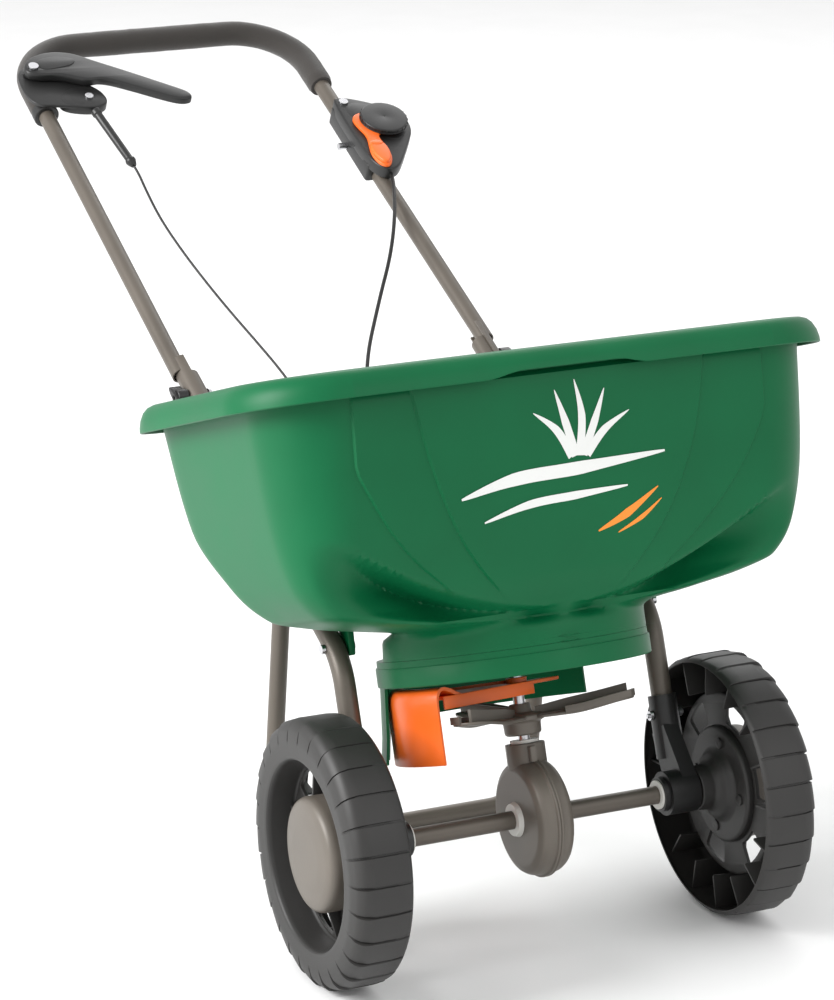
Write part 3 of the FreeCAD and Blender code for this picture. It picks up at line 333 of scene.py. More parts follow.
# ---------------------------------------------------------------- cables

WIRE_ROUTE = [(-108.5, 409.5, 1.28), (-104.2, 391.4, -2.66), (-103.8, 361.0, -8.2),
              (-101.0, 314.0, -16.0), (-91.5, 262.0, -24.0), (-80.7, 212.0, -30.0),
              (-69.4, 160.0, -34.0), (-57.0, 106.0, -36.5), (-46.0, 54.0, -39.0),
              (-38.5, 0.0, -43.0), (-35.0, -52.0, -50.0), (-34.0, -104.0, -59.0),
              (-32.0, -156.0, -70.5), (-33.5, -208.0, -80.5), (-33.0, -258.0, -89.0),
              (-34.0, -308.0, -94.0), (-33.0, -352.0, -96.5)]
CABLE_ROUTE = [(186.0, 326.0, 17.0), (181.7, 305.3, 17.8), (173.4, 281.8, 18.0), (162.9, 254.1, 17.5),
               (151.0, 226.3, 15.5), (140.2, 202.4, 9.0), (126.8, 176.5, -2.0), (106.0, 142.5, -13.0),
               (83.3, 103.4, -22.0), (61.4, 64.9, -28.0), (44.0, 26.0, -34.0), (34.0, -16.0, -41.0),
               (30.5, -62.0, -49.5), (31.5, -112.0, -60.0), (34.0, -162.0, -72.0), (33.0, -212.0, -82.5),
               (33.5, -262.0, -91.0), (34.5, -310.0, -95.5), (33.0, -352.0, -97.0)]


def free_cable(name, node, route, radius):
    curve = bpy.data.curves.new(name, "CURVE")
    curve.dimensions = "3D"
    curve.bevel_depth = radius
    curve.bevel_resolution = 4
    curve.use_fill_caps = True
    curve.resolution_u = 10
    spline = curve.splines.new("NURBS")
    spline.points.add(len(route) - 1)
    spots = [HANDLE @ Vector(spot) for spot in route]
    for point, spot in zip(spline.points, spots):
        point.co = (spot.x, spot.y, spot.z, 1)
    spline.order_u = 3
    spline.use_endpoint_u = True
    made = bpy.data.objects.new(name, curve)
    scene.collection.objects.link(made)
    curve.materials.append(FINISH["cable_jacket"])
    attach(made, "chassis")
    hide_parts(node)
    return made


free_cable("shut_off_wire_sleeve", "shut_off_wire", WIRE_ROUTE, 0.0015)
free_cable("deflector_cable_sleeve", "deflector_cable", CABLE_ROUTE, 0.0022)


# ---------------------------------------------------------------- hopper

# Levels of the tub: height, half width, front, rear and corner radius.
TUB = [(178.0, 131, 126, 88, 98), (205.0, 133, 134, 54, 86), (212.0, 168, 139, 34, 72),
       (222.0, 218, 145, 36, 56), (234.0, 252, 151, 52, 48), (272.0, 277, 164, 92, 56),
       (335.0, 291, 178, 152, 66), (452.0, 301, 192, 180, 76)]
NECK = 138.8
# The four lines down the front panel: (height, across) from low to high.
LINES = [
    [(215, -112), (238, -124), (276, -164), (311, -192), (353, -215), (398, -235), (440, -246)],
    [(215, -56), (222, -62), (260, -96), (297, -120), (348, -141), (395, -154), (440, -163)],
    [(215, 50), (235, 66), (286, 105), (331, 127), (384, 144), (440, 154)],
    [(215, 88), (240, 108), (260, 131), (301, 173), (350, 208), (398, 230), (440, 243)],
]
STEP_HIGH = 3.0
FRONT_POINTS = 30
WALL = 3.0


def between(table, height, column):
    """A smooth value of one column of a table of levels."""
    rows = [(row[0], row[column]) for row in table]
    if height <= rows[0][0]:
        return rows[0][1]
    if height >= rows[-1][0]:
        return rows[-1][1]
    slopes = [(high[1] - low[1]) / (high[0] - low[0]) for low, high in zip(rows, rows[1:])]
    tangents = [slopes[0]]
    for first, second in zip(slopes, slopes[1:]):
        same = first * second > 0
        tangents.append(2 * first * second / (first + second) if same else 0.0)
    tangents.append(slopes[-1])
    for index, (low, high) in enumerate(zip(rows, rows[1:])):
        if height <= high[0]:
            span = high[0] - low[0]
            part = (height - low[0]) / span
            cube, square = part ** 3, part ** 2
            return ((2 * cube - 3 * square + 1) * low[1] + (cube - 2 * square + part) * span
                    * tangents[index] + (3 * square - 2 * cube) * high[1]
                    + (cube - square) * span * tangents[index + 1])
    return rows[-1][1]


def ease(value, start, end):
    """0 before start, 1 after end and smooth between them."""
    part = min(max((value - start) / (end - start), 0.0), 1.0)
    return part * part * (3 - 2 * part)


# The belly's lower edge climbs from the neck to the peak of the scoop beside it.
BELLY_LOW = 214.0
SCOOP_PEAK = 308.0
PEAK_ACROSS = 250.0
EDGE_CURVE = 1.7
# How deep a scoop is beside the neck and at its deepest, and where across it is deepest.
NECK_DEPTH = 12.0
EXTRA_DEPTH = 40.0
DEEPEST = 0.24


def scoop_depth(across, height):
    """How far each low corner of the front is hollowed, between the belly and the corner."""
    rise = min(max((height - BELLY_LOW) / (SCOOP_PEAK - BELLY_LOW), 0.0), 1.0)
    belly = PEAK_ACROSS * rise ** (1 / EDGE_CURVE)
    column = between(TUB, height, 1) - 12.0
    part = min(max((abs(across) - belly) / max(column - belly, 1.0), 0.0), 1.0)
    deep = NECK_DEPTH + EXTRA_DEPTH * ease(abs(across), 60, 150)
    fade = ease(SCOOP_PEAK - height, 0, 60)
    return deep * fade * ease(part, 0, DEEPEST) * min((1 - part) / (1 - DEEPEST), 1.0)


def front_face(across, height, front):
    """How far forward the front stands at a spot, as a negative Y."""
    bow = 13.0 * ease(height, 250, 440) * (1 - min(abs(across) / 300.0, 1.0) ** 2)
    return scoop_depth(across, height) - front - bow


def section(height, inset, rise=True):
    """One closed outline of the tub at a height, moved in by inset."""
    half = between(TUB, height, 1) - inset
    front = between(TUB, height, 2) - inset
    rear = between(TUB, height, 3) - inset
    corner = max(between(TUB, height, 4) - inset, 4.0)
    neck = 1 - ease(height, 198, 209)
    lines = [between(line, height, 1) for line in LINES]
    edge = half - corner
    outline = []
    # front edge from left to right, with doubled points at each line
    limits = [-edge] + [min(max(line, -edge + 2), edge - 2) for line in lines] + [edge]
    places = []
    for index, (start, end) in enumerate(zip(limits, limits[1:])):
        lip = 0.9
        first = start + (lip if index else 0)
        last = end - (lip if index < len(limits) - 2 else 0)
        places.extend((first + (last - first) * step / FRONT_POINTS, index)
                      for step in range(FRONT_POINTS + 1))
    for across, panel_number in places:
        level = (0, 1, 2, 1, 0)[panel_number] if rise else 0
        up = level * STEP_HIGH * ease(height, 216, 250) * (1 - ease(height, 440, 446))
        outline.append((across, front_face(across, height, front) - up))
    corner_steps = 14
    arcs = [((edge, -front + corner), -90), ((edge, rear - corner), 0),
            ((-edge, rear - corner), 90), ((-edge, -front + corner), 180)]
    for number, (hub, begin) in enumerate(arcs):
        for step in range(corner_steps + 1):
            angle = math.radians(begin + 90 * step / corner_steps)
            spot = (hub[0] + corner * math.cos(angle), hub[1] + corner * math.sin(angle))
            if number in (0, 3):
                share = ease(abs(math.sin(angle)), 0.0, 0.75)
                forward = front_face(spot[0], height, front)
                spot = (spot[0], spot[1] + (forward + front) * share)
            outline.append(spot)
        if number == 0:
            outline.extend((half, -front + corner + (rear + front - 2 * corner) * step / 16)
                           for step in range(1, 16))
        if number == 1:
            outline.extend((edge - 2 * edge * step / 40, rear) for step in range(1, 40))
        if number == 2:
            outline.extend((-half, rear - corner - (rear + front - 2 * corner) * step / 16)
                           for step in range(1, 16))
    if neck > 0:
        rounded = []
        for across, depth in outline:
            angle = math.atan2(depth, across)
            ring = NECK - inset
            target = (ring * math.cos(angle), ring * math.sin(angle))
            if target[1] > 0:
                target = (target[0], target[1] * rear / ring)
            rounded.append((across + (target[0] - across) * neck, depth + (target[1] - depth) * neck))
        outline = rounded
    return outline


def grown(outline, reach):
    """The outline moved outwards along its own normals."""
    count = len(outline)
    out = []
    for index, spot in enumerate(outline):
        before = Vector(outline[index - 3])
        after = Vector(outline[(index + 3) % count])
        way = (after - before).normalized()
        out.append((spot[0] + way.y * reach, spot[1] - way.x * reach))
    return out


def lip_edge(across, depth):
    """Extra height of the rim's lower edge: a shallow arch in the middle of the front."""
    if depth > -150:
        return 0.0
    arch = ease(across, -92, -52) * (1 - ease(across, 50, 84))
    return 6.0 * arch


def hopper_mesh():
    heights = [178.2, 184, 190, 196, 200, 203, 206, 208, 210, 212, 214, 216, 218, 220, 222, 224,
               226, 228, 230, 232, 234, 237, 240, 244, 248, 252, 256, 260, 264, 268, 272, 277, 282,
               287, 292, 297, 302, 307, 312, 318, 325, 335, 345, 355, 365, 375, 385, 395, 405, 415,
               425, 433, 441, 446, 450, 454]
    rings = [[(x, y, height) for x, y in section(height, 0.0)] for height in heights]
    brim = section(452.0, 0.0, rise=False)
    lip = [(1.0, 458.0, 0), (3.5, 462.0, 0), (8.0, 463.0, 0), (13.0, 460.0, 0), (17.0, 453.5, 0.3),
           (19.5, 446.0, 0.8), (20.6, 440.8, 1), (21.8, 440.0, 1), (23.0, 441.0, 1), (22.6, 446.0, 0.8),
           (20.8, 453.5, 0.3), (17.0, 461.0, 0), (12.0, 465.6, 0), (6.0, 467.8, 0), (1.0, 468.0, 0),
           (-2.2, 467.0, 0), (-3.0, 464.0, 0), (-3.2, 458.0, 0)]
    for reach, height, share in lip:
        row = []
        for (x, y), (bx, by) in zip(grown(brim, reach), brim):
            row.append((x, y, height + share * lip_edge(bx, by)))
        rings.append(row)
    inside = [height for height in reversed(heights) if 184 <= height <= 450]
    for height in inside:
        rings.append([(x, y, height) for x, y in section(height, WALL, rise=False)])
    made = bmesh.new()
    grid = [[made.verts.new(spot) for spot in ring] for ring in rings]
    count = len(grid[0])
    for low, high in zip(grid, grid[1:]):
        for index in range(count):
            after = (index + 1) % count
            made.faces.new((low[index], low[after], high[after], high[index]))
    return made, rings[-1]


def tub_floor(inner):
    """The floor with its three outlet ports and the shaft's hole."""
    thin = inner[::6]
    loops = [[(x, y) for x, y, _ in thin]]
    loops.append(ring_points(7.5, 20))
    for angle in (205, 270, 335):
        centre = (44 * math.cos(math.radians(angle)), 44 * math.sin(math.radians(angle)))
        loops.append(ring_points(13.0, 24, centre))
    return plate(loops, 178.4, 184.0, 0.4, smooth=False)


def lug(side):
    """One of the two ears that hang from the tub and are bolted to the frame tubes."""
    outline = corner_arcs([(32, 189), (53, 189), (53, 219), (29, 219)], 4.0)
    made = plate([outline, ring_points(3.1, 16, (43, 199))], -3.4, 3.4, 0.7, smooth=False)
    upright = Matrix(((0, 0, 1, 161.4), (1, 0, 0, 0), (0, 1, 0, 0), (0, 0, 0, 1)))
    made = moved(made, upright)
    return moved(made, MIRROR) if side < 0 else made


body_mesh, inner_ring = hopper_mesh()
piece("hopper_tub", [body_mesh, tub_floor(inner_ring), lug(-1), lug(1)], "chassis",
      "green_plastic", ["hopper"], crease=40.0)


# ---------------------------------------------------------------- printed mark on the front

def on_front(across, height, proud):
    lines = [between(line, height, 1) for line in LINES]
    front = between(TUB, height, 2)
    level = int(lines[0] <= across <= lines[3]) + int(lines[1] <= across <= lines[2])
    return (across, front_face(across, height, front) - level * STEP_HIGH - proud, height)


def stroke(points, widths, proud=0.35):
    """A tapering brush stroke that lies on the front panel."""
    count = 28
    made = bmesh.new()
    rows = []
    for step in range(count + 1):
        part = step / count * (len(points) - 1)
        index = min(int(part), len(points) - 2)
        spots = [Vector(points[max(min(number, len(points) - 1), 0)])
                 for number in range(index - 1, index + 3)]
        t = part - index
        here = 0.5 * (2 * spots[1] + (spots[2] - spots[0]) * t
                      + (2 * spots[0] - 5 * spots[1] + 4 * spots[2] - spots[3]) * t * t
                      + (3 * spots[1] - spots[0] - 3 * spots[2] + spots[3]) * t ** 3)
        way = (spots[2] - spots[1]).normalized()
        start = widths[index]
        wide = start + (widths[index + 1] - start) * t
        side = Vector((-way.y, way.x)) * wide / 2
        rows.append([made.verts.new(on_front(*(here + side * share), proud)) for share in (1, 0, -1)])
    for near, far in zip(rows, rows[1:]):
        for index in range(2):
            made.faces.new((near[index], near[index + 1], far[index + 1], far[index]))
    return made


BLADES = [
    ([(2, 358), (-14, 385), (-38, 404)], [9, 8, 0.6]),
    ([(6, 358), (-4, 392), (-14, 424)], [9, 8, 0.6]),
    ([(10, 358), (14, 396), (8, 432)], [9, 8, 0.6]),
    ([(14, 358), (28, 390), (40, 420)], [9, 8, 0.6]),
    ([(18, 358), (38, 380), (66, 396)], [9, 8, 0.6]),
]
SWEEPS = [
    ([(-118, 330), (-60, 343), (10, 346), (104, 352)], [2, 13, 13, 2]),
    ([(-94, 305), (-45, 317), (5, 320), (62, 323)], [1.5, 8, 8, 1.5]),
]
marks = [stroke(*item, proud=0.35 + 0.06 * order) for order, item in enumerate(BLADES + SWEEPS)]
piece("front_mark", marks, "chassis", "green_plastic", finish=FINISH["white_ink"])
piece("front_accent", [stroke([(30, 282), (62, 296), (96, 318)], [1.5, 9, 1.0]),
                       stroke([(52, 278), (78, 290), (100, 306)], [1.0, 5, 0.8])], "chassis",
      "green_plastic", finish=FINISH["orange_ink"])


# ---------------------------------------------------------------- band and guard under the tub

ABOUT_Z = Matrix(((0, 1, 0, 0), (0, 0, 1, 0), (1, 0, 0, 0), (0, 0, 0, 1)))


def shroud():
    band = [(151, 139.6), (152, 140.8), (169.6, 140.8), (171, 140.2), (171.4, 139.2), (177.9, 138.9),
            (177.9, 136), (151, 136)]
    rear = [(112, 135.5), (112, 138.5), (154, 138.5), (154, 135.5)]
    deep = [(74, 144.5), (74, 147.5), (100, 143.4), (154, 138.5), (154, 135.5), (100, 140.4)]
    parts = [turned(band, 160), turned(rear, 90, 34, 141), turned(deep, 32, 140, 172)]
    arc = [math.radians(54 - 288 * step / 48) for step in range(49)]
    rim = [(137 * math.cos(angle), 137 * math.sin(angle)) for angle in arc]
    lid = plate([rim + [(-80, 110), (-80, -70), (80, -70), (80, 110)]], 174.9, 177.8, 0.3, smooth=False)
    parts = [moved(part, ABOUT_Z) for part in parts] + [lid]
    for side in (-1, 1):
        near, far = sorted((side * 72, side * 84))
        lip = [(near, -60), (far, -60), (far, 60), (near, 60)]
        parts.append(plate([lip], 172.6, 175.2, 0.4, smooth=False))
    piece("shroud_band", parts, "chassis", "green_plastic", ["shroud"], crease=35.0)


shroud()


# ---------------------------------------------------------------- wheels

LUGS = 28


def tread_shape(along, radius, angle):
    """Each lug leans a little, with a cut between it and the next."""
    if radius < 112:
        return along, radius
    pitch = 2 * math.pi / LUGS
    part = (angle % pitch) / pitch
    outer = ease(along, 236, 246) * ease(radius, 112, 122)
    lean = (part - 0.5) * (0.8 + 2.2 * outer)
    number = int(angle / pitch)
    cut = 1.0 if part < 0.055 or part > 0.985 else 0.0
    full = 1.0 if number % 2 == 0 or along > 214 else 0.35
    flat = ease(radius, 128, 134)
    along_out = -1.2 * cut * outer
    return along + along_out, radius + lean * ease(radius, 112, 128) - 1.2 * cut * full * max(flat, outer)


def lug_angles():
    """Places round the tread, close together at each cut."""
    pitch = 360.0 / LUGS
    shares = (0.0, 0.05, 0.065, 0.2, 0.4, 0.6, 0.8, 0.975, 0.99)
    return [pitch * (number + share) for number in range(LUGS) for share in shares]


def tyre():
    """The tread, its rounded shoulder, the recess wall and the hollow behind it."""
    outline = [(196, 131), (199.5, 135.5), (212, 137), (240, 137), (249, 134.5), (254.5, 128), (257, 116),
               (256.4, 106), (256, 98), (252, 96), (228, 93), (226, 91), (222, 92), (222, 95), (224, 97),
               (248, 100), (251, 115), (248, 125), (240, 133), (212, 133), (200, 132), (197, 130)]
    profile = corner_arcs(outline, 3.0, 2)
    made = bmesh.new()
    grid = []
    for degrees in lug_angles():
        angle = math.radians(degrees)
        row = []
        for along, radius in profile:
            along, radius = tread_shape(along, radius, angle + 1e-6) if radius > 133.5 or along > 250 \
                else (along, radius)
            row.append(made.verts.new((along, radius * math.cos(angle), radius * math.sin(angle))))
        grid.append(row)
    count = len(profile)
    for near, far in zip(grid, grid[1:] + grid[:1]):
        for index in range(count):
            after = (index + 1) % count
            made.faces.new((near[index], near[after], far[after], far[index]))
    return made


TO_X = Matrix(((0, 0, 1, 0), (1, 0, 0, 0), (0, 1, 0, 0), (0, 0, 0, 1)))


def sector(inner, outer, start, end):
    steps = 5
    angles = [math.radians(start + (end - start) * step / steps) for step in range(steps + 1)]
    rise = [(inner * math.cos(angle), inner * math.sin(angle)) for angle in angles]
    back = [(outer * math.cos(angle), outer * math.sin(angle)) for angle in reversed(angles)]
    return corner_arcs(rise + back, 2.5, 2)


def wheel_disc():
    """The web with its windows, the raised centre and the radial ribs."""
    parts = []
    windows = [sector(66, 89, 60 * step - 13, 60 * step + 13) for step in range(6)]
    loops = [ring_points(94, 96)] + windows + [ring_points(12, 24)]
    parts.append(moved(plate(loops, 222, 226, 0.5, smooth=False), TO_X))
    centre = [(222.2, 62), (216, 61), (214, 58.5), (213.4, 40), (210, 36), (206, 33), (202, 27), (198, 24),
              (185, 23), (184, 22), (184, 10), (247, 10), (248, 12), (248, 29), (246, 31), (226.5, 34),
              (226, 60)]
    parts.append(turned(corner_arcs(centre, 1.5, 2), 96))
    for step in range(16):
        rib = corner_arcs([(203, 96.5), (248.5, 99), (250, 120), (241, 134), (205, 134)], 2.0, 2)
        blade = plate([rib], -1.1, 1.1, 0.4, smooth=False)
        parts.append(moved(blade, Matrix.Rotation(math.radians(360 * (step + 0.5) / 16), 4, "X")))
    for step in range(4):
        boss = disc(6.0, 211.6, 216, 1.0, 20, hole=0.0, centre=(46, 0))
        parts.append(moved(boss, Matrix.Rotation(math.radians(90 * step + 20), 4, "X") @ TO_X))
    for step in range(6):
        spoke = plate([corner_arcs([(226, 34), (243, 33), (232, 92), (226, 93)], 2.0, 2)], -1.6, 1.6, 0.5,
                      smooth=False)
        parts.append(moved(spoke, Matrix.Rotation(math.radians(60 * step + 30), 4, "X")))
    return parts


def cap():
    outline = [(226.3, 59), (244.3, 59), (250.3, 56), (253, 49), (255, 33), (255.5, 12), (255.6, 0)]
    outer = corner_arcs(outline, 4.0, 3, closed=False)
    inner = [Vector((spot[0] - 2.5, max(spot[1] - 2.5, 0))) for spot in reversed(outer)]
    inner[-1] = Vector((226.3, 56.5))
    return turned(outer + inner, 96)


for side, word in ((-1, "left"), (1, "right")):
    body = "drive_wheel" if side < 0 else "free_wheel"
    turn = MACHINE @ FLIP if side < 0 else MACHINE
    piece("wheel_" + word + "_moulding", [tyre()] + wheel_disc(), body, "wheel_plastic",
          ["wheel_" + word], place=turn, crease=28.0)
    piece("hub_cap_" + word + "_dome", [cap()], body, "taupe_plastic", ["hub_cap_" + word], place=turn,
          crease=40.0)


# ---------------------------------------------------------------- gearbox

def gearbox_half(side, word):
    outline = [(0.05, 62.5), (3.0, 62.5), (3.4, 60.0), (12, 58.6), (17, 55.5), (20.3, 49), (20.5, 30),
               (20.5, 13), (17.5, 13), (17.5, 52), (0.05, 55)]
    parts = [turned(corner_arcs(outline, 1.8, 3), 120)]
    neck = [(0.05, -20.9), (9, -19), (17, -12), (20.9, 0), (17, 12), (9, 19), (0.05, 20.9)]
    throat = [(0.05, 12), (6, 10.4), (10.4, 6), (12, 0), (10.4, -6), (6, -10.4), (0.05, -12)]
    parts.append(plate([neck + throat], 50.0, 75.8, 0.8, smooth=False))
    lug_plate = plate([corner_arcs([(0.05, 19), (7, 19), (7, 27), (0.05, 27)], 1.5, 2)], 57.0, 73.0, 0.6,
                      smooth=False)
    parts.append(lug_plate)
    turn = MACHINE @ FLIP if side < 0 else MACHINE
    piece("gearbox_" + word + "_shell", parts, "chassis", "taupe_plastic", ["gearbox_" + word],
          place=turn, crease=35.0)


for side, word in ((-1, "left"), (1, "right")):
    gearbox_half(side, word)


# ---------------------------------------------------------------- impeller

FAN_TURN = math.radians(-21.0)


def fan_arm(step):
    """A broad dished arm with a tall vane and a raised front rim."""
    outline = [(10, -20), (34, -25), (60, -28), (94, -28), (112, -22), (117.5, -10), (116.5, 4), (104, 11),
               (80, 15), (50, 16), (14, 19)]
    arm = plate([outline], 100.0, 103.2, 0.9)
    for vert in arm.verts:
        reach = math.hypot(vert.co.x, vert.co.y)
        vert.co.z += 7.0 * ease(reach, 55, 120)
    parts = [arm]
    vane = [(15, 1), (48, 6), (80, 6), (111, 0), (111, -3), (80, 2.8), (48, 2.8), (15, -2)]
    rim = [(44, -24.5), (62, -26), (93, -26), (111, -20), (115.5, -9), (118, -10), (113, -23),
           (94, -29.4), (62, -29.4), (44, -27)]
    for blade, high in ((vane, 116.0), (rim, 109.5)):
        wall = plate([blade], 102.0, high, 0.5, smooth=False)
        for vert in wall.verts:
            reach = math.hypot(vert.co.x, vert.co.y)
            vert.co.z += 7.0 * ease(reach, 55, 120)
            if vert.co.z > high - 1.5:
                vert.co.z -= 5.0 * (1 - ease(reach, 10, 60))
        parts.append(wall)
    turn = Matrix.Rotation(FAN_TURN + math.radians(120 * step), 4, "Z")
    return [moved(part, turn) for part in parts]


def impeller():
    outline = [(84, 6), (84, 17), (86, 19), (97, 19.5), (99, 24), (104, 24), (106, 20), (107, 12), (116, 11),
               (116, 6)]
    hub = turned(corner_arcs(outline, 1.5, 2), 48)
    for vert in hub.verts:
        along, across, up = vert.co
        vert.co = (across, up, along)
    parts = [hub]
    for step in range(3):
        parts.extend(fan_arm(step))
    piece("impeller_fan", parts, "fan", "taupe_plastic", ["impeller"], crease=35.0)


impeller()


# ---------------------------------------------------------------- deflector

def deflector():
    """The curved shield whose rounded top runs into a flat web about the shaft."""
    made = bmesh.new()
    profile = [(134, 70.5), (134, 134), (133, 140), (130, 145), (125.5, 147.6), (119, 148), (108, 145),
               (100, 141), (92, 138.4), (92, 135.4), (101, 137.6), (109, 141), (118, 144.6), (124, 144.4),
               (127.4, 142), (130, 137), (131, 132), (131, 70.5)]
    profile = corner_arcs(profile, 2.0, 2)
    steps = 40
    grid = []
    for step in range(steps + 1):
        angle = math.radians(158 + 50 * step / steps)
        grid.append([made.verts.new((radius * math.cos(angle), radius * math.sin(angle), up))
                     for radius, up in profile])
    count = len(profile)
    for near, far in zip(grid, grid[1:]):
        for index in range(count):
            after = (index + 1) % count
            made.faces.new((near[index], near[after], far[after], far[index]))
    made.faces.new(grid[0])
    made.faces.new(list(reversed(grid[-1])))
    web = [(-92, 37), (-40, 26), (-6, 15), (10, 13), (30, 7), (47, -2), (30, -8), (10, -14), (-40, -30),
           (-88, -47), (-104, -52), (-108, -20), (-106, 20)]
    parts = [made, plate([web, ring_points(6.1, 20)], 134.6, 138.2, 0.7, smooth=False)]
    parts.append(disc(11, 129, 143, 1.0, 40, hole=6.1))
    ridge = plate([corner_arcs([(-100, 44), (-6, 14), (-5, 11), (-99, 40.5)], 1.0, 2)], 137.5, 141.0, 0.5,
                  smooth=False)
    flange = plate([corner_arcs([(-106, -53), (-88, -48), (-40, -31), (12, -15.5), (13, -12), (-40, -27),
                                 (-88, -43.5), (-105, -48)], 1.0, 2)], 125.0, 138.2, 0.6, smooth=False)
    parts.extend([ridge, flange])
    piece("deflector_shield", parts, "shield", "orange_plastic", ["deflector"], crease=35.0)


deflector()


# ---------------------------------------------------------------- foam grip

def bend_points(points, radius):
    """Even points along a polyline with rounded corners."""
    steps = 14
    out = []
    count = len(points)
    for index in range(count):
        here = Vector(points[index])
        if index in (0, count - 1):
            out.append(here)
            continue
        back = (Vector(points[index - 1]) - here).normalized()
        ahead = (Vector(points[index + 1]) - here).normalized()
        half = back.angle(ahead) / 2
        reach = radius / math.tan(half)
        hub = here + (back + ahead).normalized() * radius / math.sin(half)
        first = here + back * reach - hub
        last = here + ahead * reach - hub
        for step in range(steps + 1):
            part = step / steps
            out.append(hub + first.slerp(last, part) * radius)
    filled = []
    for near, far in zip(out, out[1:]):
        pieces = max(int((far - near).length / 7.0), 1)
        filled.extend(near.lerp(far, number / pieces) for number in range(pieces))
    return filled + [out[-1]]


def foam():
    drift = 8.0 * 122.0 / 616.0
    corners = [(-176 - drift, 518, 0), (-176, 640, 0), (176, 640, 0), (176 + drift, 518, 0)]
    path = bend_points(corners, 80.0)

    def around_bar(part, angle):
        swell = 0.35 * noise.noise(Vector((part * 46.0, math.cos(angle), math.sin(angle))))
        squash = 0.45 * math.sin(angle) ** 2 * (ease(part, 0.1, 0.22) - ease(part, 0.3, 0.4)
                                                + ease(part, 0.6, 0.7) - ease(part, 0.78, 0.9))
        end = min(part, 1 - part) * 640.0
        lip = 1.6 * (1 - min(end / 3.0, 1.0)) ** 2
        return 15.0 + swell - squash - lip

    outer = sweep(path, 40, around_bar)
    made = piece("foam_sleeve", [outer], "chassis", "foam", ["foam_grip"], place=HANDLE, crease=50.0)


foam()


# ---------------------------------------------------------------- left control

def left_control():
    base = [(-190, 503), (-199, 518), (-200, 545), (-196, 569), (-184, 580), (-168, 577), (-142, 556),
            (-118, 536), (-105, 516), (-108, 497), (-122, 490), (-150, 495), (-172, 501)]
    shell = plate([base, ring_points(3.1, 16, (-180, 561))], 15.7, 19.7, 1.2, steps=6)
    nose = plate([[(-163, 500), (-130, 489), (-108, 494), (-104, 512), (-116, 530), (-140, 534),
                   (-161, 520)]], 7.7, 19.9, 2.0)
    ring = turned([(505, 9.7), (505, 14.0), (506, 15.0), (516, 15.0), (517, 14.0), (517, 9.7)], 40)
    collar = moved(ring, Matrix(((0, 1, 0, -177.7), (1, 0, 0, 0), (0, 0, -1, 0), (0, 0, 0, 1))))
    crest = [(-150, 500), (-126, 494), (-112, 501), (-112, 512), (-122, 522), (-148, 524)]
    ridge = plate([crest], 17.0, 20.0, 1.0)
    piece("lever_bracket_shell", [shell, nose, collar, ridge], "chassis", "black_plastic",
          ["lever_bracket"], place=HANDLE, crease=35.0)
    arm = [(-192, 554), (-189, 571), (-174, 585), (-150, 591), (-124, 585), (-106, 570), (-62, 538),
           (-20, 504), (-7, 492), (-7, 481), (-20, 478), (-36, 486), (-72, 511), (-104, 532), (-122, 528),
           (-138, 537), (-156, 545), (-178, 546)]
    lever = plate([arm, ring_points(3.1, 16, (-180, 561))], 20.0, 31.8, 3.2, steps=7)
    for vert in lever.verts:
        reach = ease(vert.co.x, -140, -30)
        if vert.co.z > 23:
            vert.co.z -= 2.2 * reach
    pad = [(-176, 573), (-150, 580), (-124, 572), (-130, 560), (-150, 556), (-172, 554)]
    web = plate([pad], 30.5, 32.2, 0.7)
    piece("squeeze_lever_arm", [lever, web], "squeeze", "black_plastic", ["squeeze_lever"],
          place=HANDLE, crease=35.0)


left_control()


def barrel():
    start = Vector((-127, 486, 18))
    end = Vector((-106, 399, -1))
    run = end - start
    outline = [(0, 0.5), (0, 5.2), (1.5, 6.0), (7, 6.0), (8.2, 5.0), (run.length - 11, 4.8),
               (run.length - 10, 6.1), (run.length - 7, 6.2), (run.length - 3, 4.6), (run.length, 3.2),
               (run.length, 1.8), (run.length - 10, 1.8), (run.length - 10, 0.5)]
    made = turned(corner_arcs(outline, 0.6, 2), 32)
    turn = run.to_track_quat("X", "Z").to_matrix().to_4x4()
    piece("cable_barrel_body", [moved(made, Matrix.Translation(start) @ turn)], "chassis", "black_plastic",
          ["cable_barrel"], place=HANDLE)


barrel()


# ---------------------------------------------------------------- right control

DIAL = (206.0, 401.0)


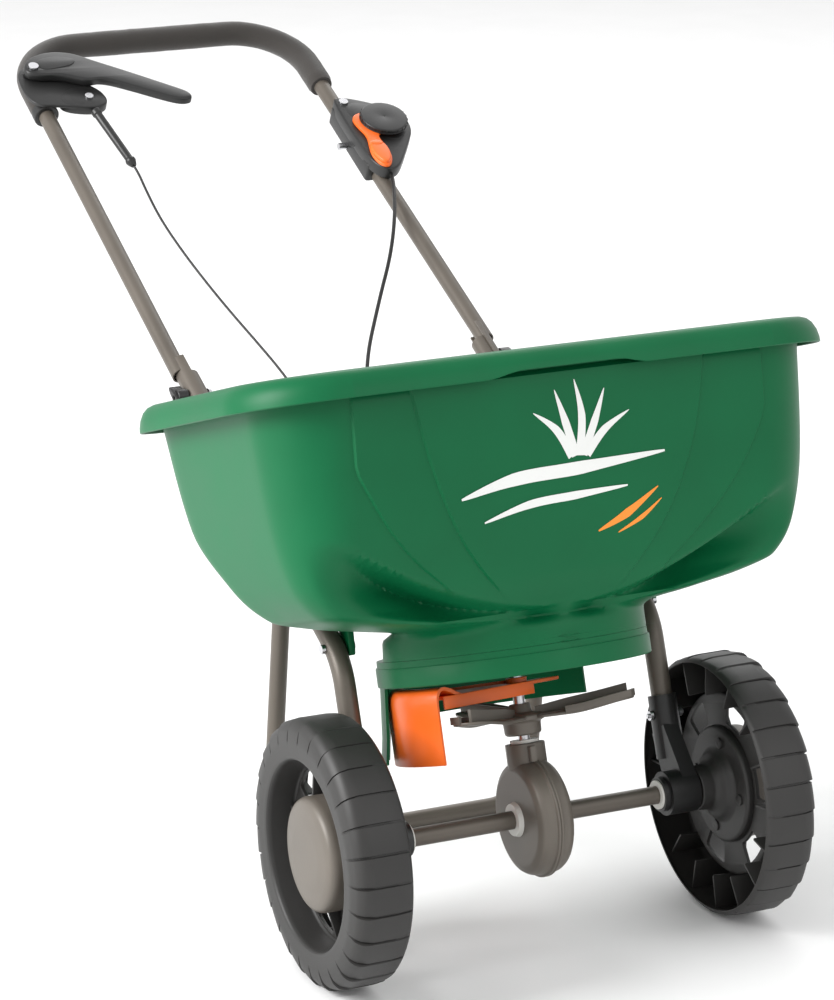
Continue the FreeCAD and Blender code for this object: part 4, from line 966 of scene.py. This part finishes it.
def right_control():
    base = plate([corner_arcs([(163, 336), (193, 336), (193, 456), (163, 456)], 4.0)], -7.0, 16.0, 1.8,
                 smooth=False)
    outline = [(162, 456), (170, 460), (184, 457), (205, 446), (226, 432), (240, 412), (239, 386), (224, 362),
               (206, 334), (194, 318), (180, 313), (168, 324), (162, 345)]
    shell = plate([outline], 10.0, 26.0, 2.2, steps=7)
    upper = plate([[(170, 440), (184, 448), (204, 440), (224, 425), (234, 408), (232, 388), (216, 366),
                    (200, 372), (184, 390), (172, 420)]], 24.0, 26.2, 1.0)
    piece("control_panel_shell", [base, shell, upper], "chassis", "black_plastic", ["control_panel"],
          place=HANDLE, crease=35.0)
    across, along = DIAL
    arm = [(across - 8, along + 16), (across - 24, along + 20), (across - 37, along + 12),
           (across - 36, along - 6), (across - 31, along - 24), (across - 36, along - 44),
           (across - 40, along - 62), (across - 36, along - 82), (across - 24, along - 86),
           (across - 15, along - 66), (across - 17, along - 42), (across - 18, along - 26),
           (across - 4, along - 16)]
    lever = plate([arm], 26.3, 31.0, 1.2, steps=6)
    hub = disc(20, 26.3, 30.3, 0.8, 48, hole=4.1, centre=DIAL)
    grip = plate([[(across - 35, along - 40), (across - 39, along - 60), (across - 35, along - 80),
                   (across - 26, along - 84), (across - 17, along - 66), (across - 19, along - 42)]],
                 28.0, 35.3, 1.8)
    fin = plate([[(across - 40, along - 46), (across - 28, along - 40), (across - 18, along - 48),
                  (across - 28, along - 52)]], 30.0, 36.0, 1.0)
    piece("deflector_lever_arm", [lever, hub, grip, fin], "selector", "orange_plastic",
          ["deflector_lever"], place=HANDLE, crease=35.0)
    top = disc(28.5, 30.6, 36.6, 1.8, 72, hole=0.0, centre=DIAL)
    collar = disc(29.4, 30.6, 32.4, 0.6, 72, hole=10.0, centre=DIAL)
    parts = [top, collar]
    tooth = corner_arcs([(28.0, -1.0), (29.2, -0.8), (29.2, 0.8), (28.0, 1.0)], 0.3, 2)
    for step in range(24):
        rib = plate([tooth], 32.0, 35.6, 0.2, smooth=False)
        turn = Matrix.Translation((DIAL[0], DIAL[1], 0)) @ Matrix.Rotation(math.radians(15 * step), 4, "Z")
        parts.append(moved(rib, turn))
    piece("rate_dial_knob", parts, "dial", "black_plastic", ["rate_dial"], place=HANDLE, crease=35.0)


right_control()


# ---------------------------------------------------------------- knobs and axle brackets

def wing_knob(side, word):
    out = 189.2
    outline = [(-17, -2.2), (-8, -4.5), (8, -4.5), (17, -2.2), (17, 2.2), (8, 4.5), (-8, 4.5), (-17, 2.2)]
    wings = plate([outline, ring_points(3.0, 16)], out + 2, out + 15.5, 1.4)
    core = disc(8.6, out, out + 12, 1.2, 32, hole=3.0)
    turn = Matrix(((0, 0, 1, 0), (1, 0, 0, -10), (0, 1, 0, 0), (0, 0, 0, 1)))
    parts = [moved(part, turn) for part in (wings, core)]
    if side < 0:
        parts = [moved(part, MIRROR) for part in parts]
    piece("wing_knob_" + word + "_grip", parts, "chassis", "black_plastic", ["wing_knob_" + word],
          place=HANDLE)


for side, word in ((-1, "left"), (1, "right")):
    wing_knob(side, word)


# ---------------------------------------------------------------- CAD nodes that stay

for made in NODES.values():
    record_slot = made.data.materials[0].name.split(".")[0]
    made.data.materials.clear()
    made.data.materials.append(FINISH[record_slot])


# ---------------------------------------------------------------- floor and lights

def floor():
    mesh = bpy.data.meshes.new("floor")
    reach = 14.0
    mesh.from_pydata([(-reach, -reach, 0), (reach, -reach, 0), (reach, reach, 0), (-reach, reach, 0)], [],
                     [(0, 1, 2, 3)])
    made = bpy.data.objects.new("floor", mesh)
    scene.collection.objects.link(made)
    mesh.materials.append(material("floor", (0.86, 0.86, 0.86), 0.9, shade=0.01, grain=0.02, bump=0.0))
    made.location.z = -0.0005


def light(name, place, size, power):
    data = bpy.data.lights.new(name, "AREA")
    data.size = size
    data.energy = power
    made = bpy.data.objects.new(name, data)
    made.location = place
    made.rotation_euler = (Vector((0, 0, 0.45)) - Vector(place)).to_track_quat("-Z", "Y").to_euler()
    scene.collection.objects.link(made)


floor()
light("key", (-3.6, 0.0, 2.4), 2.0, 215)
light("fill", (1.6, -3.8, 2.6), 2.6, 22)
light("back", (1.8, 3.2, 3.0), 2.5, 45)
world = bpy.data.worlds.new("studio")
world.use_nodes = True
world.node_tree.nodes["Background"].inputs["Color"].default_value = (1, 1, 1, 1)
world.node_tree.nodes["Background"].inputs["Strength"].default_value = 0.95
scene.world = world
scene.view_settings.view_transform = "Standard"
